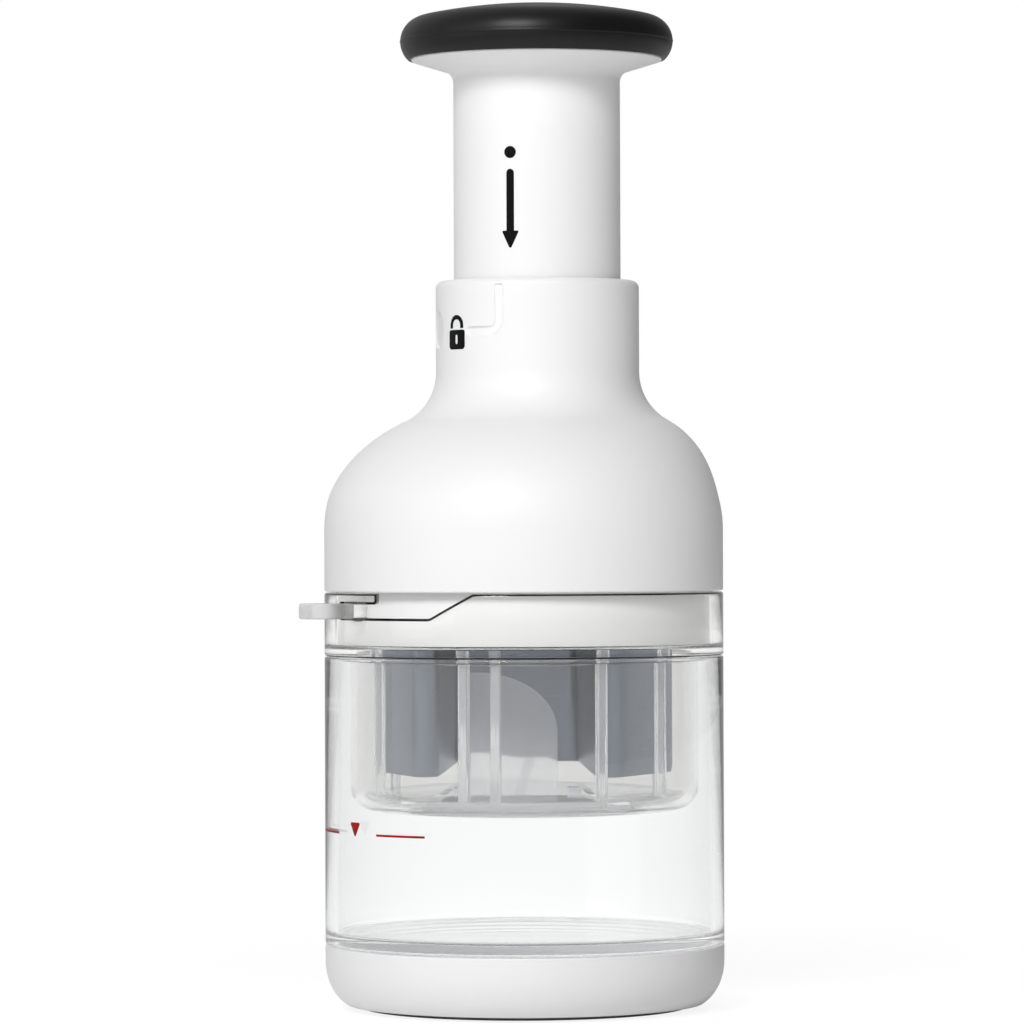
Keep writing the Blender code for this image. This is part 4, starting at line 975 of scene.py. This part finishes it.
# %% The zigzag strip
blade_low, blade_high = heights("zigzag_blade")
blade_reach, blade_thickness, blade_bend = 37.2, 1.0, 3.0
plan_turn = radians(60.5)
fold_turns = (180.0, 233.7, 118.7, 67.0, -60.6, -4.6)


def folded(points, bend, facets):
    """A path whose inner corners are arcs."""
    path = [points[0]]
    for before, corner, after in zip(points, points[1:], points[2:]):
        path += corner_arc(before, corner, after, bend, facets)
    return path + [points[-1]]


def strip(path, sections):
    """An upright strip along a path. Each section is a height and a half thickness there."""
    sides = []
    for i in range(len(path)):
        before, after = path[max(i - 1, 0)], path[min(i + 1, len(path) - 1)]
        along = (after - before).normalized()
        sides.append(Vector((-along.y, along.x)))
    shape = bmesh.new()
    rings = []
    loop = [*sections, *[(height, -half) for height, half in reversed(sections)]]
    for at, side in zip(path, sides):
        corners = [(*((at + side * half) * mm), height * mm) for height, half in loop]
        rings.append([shape.verts.new(corner) for corner in corners])
    skin(shape, rings)
    shape.faces.new(rings[0])
    shape.faces.new(rings[-1])
    shape.transform(about_z(plan_turn))
    return finished(shape)


fold_spots = [polar(blade_reach, radians(turn)) for turn in fold_turns]
blade_path = folded(fold_spots, blade_bend, 10)
ground, half_blade = 1.6, blade_thickness / 2
sections = [
    (blade_low, 0.06),
    (blade_low + ground, half_blade),
    (blade_high - 0.15, half_blade),
    (blade_high, half_blade - 0.1),
]
blade = strip(blade_path, sections)
place("blade_strip", blade, blade_steel, "blades", ["zigzag_blade"])

# %% [markdown]
# ## The clear cage
#
# The cage hangs from the ring by its flange and pushes the food off the blades as they rise. It is
# one moulding: a slotted disc, posts up to the flange, an arched fin across the middle with a
# stiffer left edge, and two low blocks. It could be one box-modelled mesh, but joining simple
# shapes keeps every thickness a number.

# %% The cage
cage_low, cage_high = heights("blade_cage")
cage_disc_top, cage_radius = cage_low + 2.0, 40.6
cage_root = cage_disc_top - 1.0
loose = 0.5
post_near = blade_reach + half_blade + loose + gap
post_far, post_half, flange_low = post_near + 2.0, 1.3, cage_high - 3.2
post_turns = (-153.0, -111.5, -100.0, -62.0, -33.5, 27.0, 92.0, 150.0)
flange_width = 3.2
fin_left, fin_right, fin_front, fin_half, fin_top = -16.0, 8.3, 12.0, 0.75, cage_disc_top + 29.8
fin_edge, fin_edge_half = 2.6, 1.3
arch_width, arch_height = 20.0, 14.3
upstand_lefts, upstand_width, upstand_top = (-17.4, 10.6), 3.4, cage_disc_top + 2.4
upstand_near, upstand_far = -fin_front - 7.6, -fin_front - 2.6


def block(left, right, near, far, low, high):
    return slab(box_corners(left, right, near, far, 0.4, 0.4), low, high, 0.2)


def fin_shape():
    """The fin's outline with its quarter arch, stood upright across the cage."""
    arch = [
        (fin_right - arch_width * (1 - cos(turn)), fin_top - arch_height * (1 - sin(turn)), 0)
        for turn in spread(0, pi / 2, 24)
    ]
    corners = [(fin_left, cage_root, 0), (fin_right, cage_root, 0), *arch, (fin_left, fin_top, 0)]
    fin = slab(corners, fin_front - fin_half, fin_front + fin_half, 0.3)
    fin.transform(Matrix.Rotation(radians(90), 4, "X"))
    return fin


def longer(path, extra):
    first = path[0] + (path[0] - path[1]).normalized() * extra
    last = path[-1] + (path[-1] - path[-2]).normalized() * extra
    return [first, *path[1:-1], last]


def cage_mesh():
    disc = flat_ring(0, cage_radius, cage_low, cage_disc_top, 0.5)
    slit = [(cage_low - 2, half_blade + loose), (cage_disc_top + 2, half_blade + loose)]
    cage = carve(disc, strip(longer(blade_path, loose), slit))
    cage.transform(about_z(-plan_turn))
    fin_sides = (fin_left, fin_left + fin_edge, -fin_front - fin_edge_half, -fin_front + fin_edge_half)
    added = [
        flat_ring(post_near - gap, post_far + flange_width, flange_low, cage_high, 0.4),
        fin_shape(),
        block(*fin_sides, cage_root, fin_top),
    ]
    for left in upstand_lefts:
        sides = (left, left + upstand_width, upstand_near, upstand_far)
        added.append(block(*sides, cage_root, upstand_top))
    for turn in post_turns:
        post = block(post_near, post_far, -post_half, post_half, cage_low + gap, flange_low + gap)
        post.transform(about_z(radians(turn)))
        added.append(post)
    cage = joined(cage, added)
    cage.transform(about_z(plan_turn))
    return cage


place("clear_cage", cage_mesh(), milky, "stripper", ["blade_cage"])

# %% [markdown]
# ## The return spring
#
# The spring sits out of sight round the rod. When the plunger goes down, the real coil closes up; here
# the share of its length that the stroke leaves is worked out, but nothing flattens the coil with it,
# so the coil keeps its rest length.

# %% A line on a curve
def add_line(curve, points, closed=False):
    line = curve.splines.new("POLY")
    line.points.add(len(points) - 1)
    for point, spot in zip(line.points, points):
        point.co = (*spot, 1)
    line.use_cyclic_u = closed


# %% The coil
spring_low, spring_high = heights("return_spring")
spring_radius, wire_radius, spring_turns, turn_facets = 9.4, 0.8, 11, 24
stroke = next(joint for joint in frame["joints"] if joint["name"] == "plunger_press")["range_m"][1] / mm


def coil():
    low, high = spring_low + wire_radius, spring_high - wire_radius
    dead = 2 * wire_radius + 0.5
    rise = (high - low - 2 * dead) / (spring_turns - 2)
    curve = bpy.data.curves.new("return_coil", "CURVE")
    curve.dimensions, curve.bevel_depth, curve.bevel_resolution = "3D", wire_radius * mm, 3
    curve.use_fill_caps = True
    points = []
    for turns in spread(0, spring_turns, spring_turns * turn_facets):
        lower, upper = min(turns, 1), max(0.0, turns - spring_turns + 1)
        height = low + (lower + upper) * dead + (turns - lower - upper) * rise
        points.append((*polar(spring_radius * mm, 2 * pi * turns), height * mm))
    add_line(curve, points)
    return worked_out(bpy.data.objects.new("coil_line", curve))


spring = place("return_coil", coil(), plain_steel, "housing", ["return_spring"])
spring_length = spring_high - spring_low
1 - stroke / spring_length
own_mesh(spring)

# %% [markdown]
# ## Printed marks
#
# Pad printing wraps a flat picture round the wall. Each mark is drawn flat as a filled curve, cut
# into narrow strips so that it can bend, wrapped round its axis three hundredths of a millimetre
# proud of the wall, and given that thickness too.

# %% Wrap a flat drawing round a wall
proud = 0.03


def flat_drawing(outlines):
    """A filled mesh from closed outlines. An outline inside another one is a hole."""
    curve = bpy.data.curves.new("drawing", "CURVE")
    curve.dimensions, curve.fill_mode = "2D", "BOTH"
    for outline in outlines:
        add_line(curve, [(x, y, 0) for x, y in outline], closed=True)
    return worked_out(bpy.data.objects.new("drawing", curve))


def printed(name, outlines, radius, turn_deg, back, finish, body, slot):
    """Prints on a wall of this radius round an axis that stands this far back."""
    shape = bmesh.new()
    shape.from_mesh(flat_drawing(outlines))
    bmesh.ops.remove_doubles(shape, verts=shape.verts, dist=1e-4)
    along = [vertex.co.x for vertex in shape.verts]
    width = 0.5
    for i in range(ceil(min(along) / width), ceil(max(along) / width)):
        cut = {"plane_co": (i * width, 0, 0), "plane_no": (1, 0, 0)}
        bmesh.ops.bisect_plane(shape, geom=shape.verts[:] + shape.edges[:] + shape.faces[:], **cut)
    for vertex in shape.verts:
        angle = radians(turn_deg) + vertex.co.x / radius
        vertex.co = (Vector((*polar(radius, angle), vertex.co.y)) + Vector((0, back, 0))) * mm
    piece = place(name, finished(shape), finish, body)
    film = piece.modifiers.new("Film", "SOLIDIFY")
    film.thickness, film.offset = proud * mm, 0


def circle(x, y, radius, points=40):
    return [polar(radius, angle) + Vector((x, y)) for angle in even_angles(points)]


# %% The arrow on the tube
stem_half, head_half = 1.0, 2.3
dot_height, stem_top, head_top, arrow_tip = 215.7, 210.5, 196.0, 191.2
arrow_turn = camera_deg - 18.6
arrow_outline = [
    *circle(0, stem_top, stem_half, 32)[:17],
    (-stem_half, head_top),
    *rounded([(-head_half, head_top, 0.3), (0, arrow_tip, 0.4), (head_half, head_top, 0.3)]),
    (stem_half, head_top),
]
tube_print = (plunger_radius + proud, arrow_turn, neck_offset)
printed("press_arrow", [arrow_outline], *tube_print, black_ink, "knob", "white_plastic")
printed("press_dot", [circle(0, dot_height, 1.53)], *tube_print, black_ink, "knob", "white_plastic")

# %% The padlock on the collar
lock_foot, lock_wide, lock_tall = 166.4, 6.3, 4.9


def padlock():
    half_wide, top = lock_wide / 2, lock_foot + lock_tall
    lock = rounded(box_corners(-half_wide, half_wide, lock_foot, top, 1.0, 0.7))
    keyhole = rounded(box_corners(-0.42, 0.42, lock_foot + 1.3, top - 1.2, 0.4, 0.4))
    outer, inner, rise, legs = 2.6, 1.5, top + 1.15, top + 0.4
    over = circle(0, rise, outer)[:21]
    under = circle(0, rise, inner)[20::-1]
    bow = [(outer, legs), *over, (-outer, legs), (-inner, legs), *under, (inner, legs)]
    return [lock, keyhole], [bow]


lock, bow = padlock()
collar_print = (collar_radius + proud, camera_deg - 52.0, neck_offset)
printed("padlock_block", lock, *collar_print, black_ink, "housing", "white_plastic")
printed("padlock_bow", bow, *collar_print, black_ink, "housing", "white_plastic")

# %% The fill line on the cup
line_height, line_half, line_start, line_end = 45.4, 0.28, 8.7, 24.2
mark_turn = camera_deg - 56.4


def bar(left, right):
    return rounded(box_corners(left, right, line_height - line_half, line_height + line_half))


cup_print = (body_radius + proud, mark_turn, 0)
pointer_top, pointer_tip = line_height + 2.9, line_height - 0.9
pointer = rounded([(-2.4, pointer_top, 0.4), (0, pointer_tip, 0.4), (2.4, pointer_top, 0.4)])
cup_marks = {
    "fill_line_left": bar(-line_end, -line_start),
    "fill_line_right": bar(line_start, line_end),
    "fill_pointer": pointer,
}
for name, outline in cup_marks.items():
    printed(name, [outline], *cup_print, red_ink, "cup_body", "clear_plastic")

# %% [markdown]
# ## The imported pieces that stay
#
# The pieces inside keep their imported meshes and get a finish. Their facets are flat-shaded as
# packed, so a Weld modifier joins each facet's loose corners and smooth shading by angle follows.

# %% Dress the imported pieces
def dress(node, finish):
    piece = nodes[node]
    weld = piece.modifiers.new("Weld", "WELD")
    weld.merge_threshold = 0.002 * mm
    if "custom_normal" in piece.data.attributes:
        piece.data.attributes.remove(piece.data.attributes["custom_normal"])
    smooth(piece.data)
    for material_slot in piece.material_slots:
        material_slot.material = finish
    if not piece.material_slots:
        piece.data.materials.append(finish)


dress("skirt_frame", white)
for name in ("guide_sleeve", "drive_nut", "cage_retainer", "push_disc", "knob_core", "blade_hub"):
    dress(name, natural)
for name in ("drive_rod", "shaft_clip", "hub_nut"):
    dress(name, plain_steel)
for number in (1, 2, 3):
    dress(f"frame_screw_{number}", plain_steel)
    dress(f"knob_screw_{number}", plain_steel)
print("dressed", len([n for n in nodes.values() if n.modifiers]), "packed pieces")

# %% [markdown]
# ## The studio
#
# White plastic on white only shows by its shading. A small key lamp, high and a little to the left,
# makes the highlights. A broad lamp in front, just as high, isn't mirrored in the object: it only
# fills, throws the bell's shadow on the skirt, and lights the floor, which throws light back at the
# base. A weak wall of light keeps the left side open, and the right sides fall off. Angles are
# counted from the camera: to its right and upwards.

# %% Where the camera stands
camera_distance, camera_height, lens = 1387.0, 120.7, 192.0
aim_aside, aim_height, camera_roll = -2.92, 125.5, radians(-0.2)
lamps_middle, lamps_aim = 125.0, 130.0
towards_camera = polar(1, radians(camera_deg)).to_3d()
to_the_right = Vector((-towards_camera.y, towards_camera.x, 0))


def around(turn_deg, rise_deg, distance):
    """A place round the object, turned from the camera to its right, in metres."""
    level = towards_camera * cos(radians(turn_deg)) + to_the_right * sin(radians(turn_deg))
    spot = level * cos(radians(rise_deg)) + Vector((0, 0, sin(radians(rise_deg))))
    return (spot * distance + Vector((0, 0, lamps_middle))) * mm


def aimed(item, target, roll=0.0):
    away = item.location - target
    item.rotation_mode = "QUATERNION"
    item.rotation_quaternion = away.to_track_quat("Z", "Y") @ Matrix.Rotation(roll, 3, "Z").to_quaternion()


# %% The camera
camera = bpy.data.objects.new("camera", bpy.data.cameras.new("camera"))
camera.data.lens, camera.data.sensor_width = lens, 36.0
camera.data.clip_start, camera.data.clip_end = 0.05, 30.0
camera.location = towards_camera * camera_distance * mm + Vector((0, 0, camera_height * mm))
aimed(camera, (to_the_right * aim_aside + Vector((0, 0, aim_height))) * mm, camera_roll)
scene.collection.objects.link(camera)
scene.camera = camera
print("camera at", [round(value, 3) for value in camera.location])

# %% The lamps
def softbox(name, turn, rise, distance, width, height, watts, mirrored=True):
    lamp = bpy.data.lights.new(name, "AREA")
    lamp.shape, lamp.size, lamp.size_y, lamp.energy = "RECTANGLE", width, height, watts
    box = bpy.data.objects.new(name, lamp)
    box.location = around(turn, rise, distance)
    aimed(box, Vector((0, 0, lamps_aim * mm)))
    box.visible_glossy = mirrored
    scene.collection.objects.link(box)


softbox("key", -18, 35, 1700, 0.4, 0.4, 12.8)
softbox("left wall", -60, 6, 1600, 1.2, 1.7, 3.7)
softbox("front wall", 8, 34, 1800, 1.0, 1.0, 9.4, mirrored=False)

# %% [markdown]
# The world does two jobs. What the camera sees directly, or through glass, is a white backdrop at
# strength 1. What lights and mirrors in the object is a studio: bright behind it, so that the back
# is lit too, dim in front and dark on the right.

# %% The world
backdrop_shine = 0.45


def studio_world():
    world = bpy.data.worlds.new("studio")
    world.use_nodes = True
    start = Wire(world.node_tree)
    direction = start.node("ShaderNodeTexCoord", take="Generated")
    behind = start.vector("DOT_PRODUCT", direction, -towards_camera, take="Value")
    right = start.vector("DOT_PRODUCT", direction, to_the_right, take="Value")
    direct = start.maths("MAXIMUM", asked_by(start, "Camera"), asked_by(start, "Transmission"))
    mirrored = asked_by(start, "Glossy")
    dark_corner = right.ramp(0.1, 0.65) * behind.ramp(-0.6, 0.0)
    shine = behind.ramp(-0.9, 0.75, 0.22, backdrop_shine) * right.ramp(0.1, 0.7, 1.0, 0.25)
    fill = (1 - dark_corner) * behind.ramp(0.1, 0.9, 0.14, 1.3)
    strength = direct + (1 - direct) * (mirrored * shine + (1 - mirrored) * fill)
    start.feed(world.node_tree.nodes["Background"].inputs["Strength"], strength)
    world.node_tree.nodes["Background"].inputs["Color"].default_value = grey(1.0)
    return world


scene.world = studio_world()

# %% [markdown]
# The floor is plain and pale. Directly seen it is mixed with white light, so it meets the white
# backdrop without a line and still shows the object's shadow. Mirrored in the object, its far part is
# as bright as the backdrop.

# %% The floor
glow_from, glow_to, glow_near = 0.1, 0.4, 1.09


def floor_finish():
    made, start, sockets = new_finish("pale floor", Roughness=0.6)
    start.feed(sockets["Base Color"], speckle(start, 60.0).between(grey(0.96), grey(0.94)))
    away = off_axis(start)
    bent = asked_by(start, "Transmission")
    reflected = asked_by(start, "Glossy") * (1 - bent)
    strength = away.ramp(glow_from, glow_to, glow_near, 1.0) * (1 - reflected * (1 - backdrop_shine))
    glow = start.node("ShaderNodeEmission", sockets={"Color": grey(1.0), "Strength": strength})
    direct = asked_by(start, "Camera") * away.ramp(glow_from, glow_to, 0.8, 1.0)
    seen = start.maths("MAXIMUM", direct, bent)
    share = start.maths("MAXIMUM", seen, reflected * away.ramp(0.15, 0.6))
    return overlaid(made, start, share, glow)


bpy.ops.mesh.primitive_circle_add(vertices=96, radius=4.0, fill_type="NGON", location=(0, 0, -gap * mm))
floor = bpy.context.object
floor.name = "pale_floor"
floor.data.materials.append(floor_finish())

# %% [markdown]
# ## The picture's settings
#
# The Standard view shows a colour about as it is written. Clear pieces inside clear pieces need
# many bounces: a ray meets a dozen walls before it is out again.

# %% Colour view and light bounces
scene.view_settings.view_transform = "Standard"
scene.cycles.max_bounces = 28
scene.cycles.transmission_bounces = 26
scene.cycles.glossy_bounces = 24
scene.cycles.transparent_max_bounces = 48
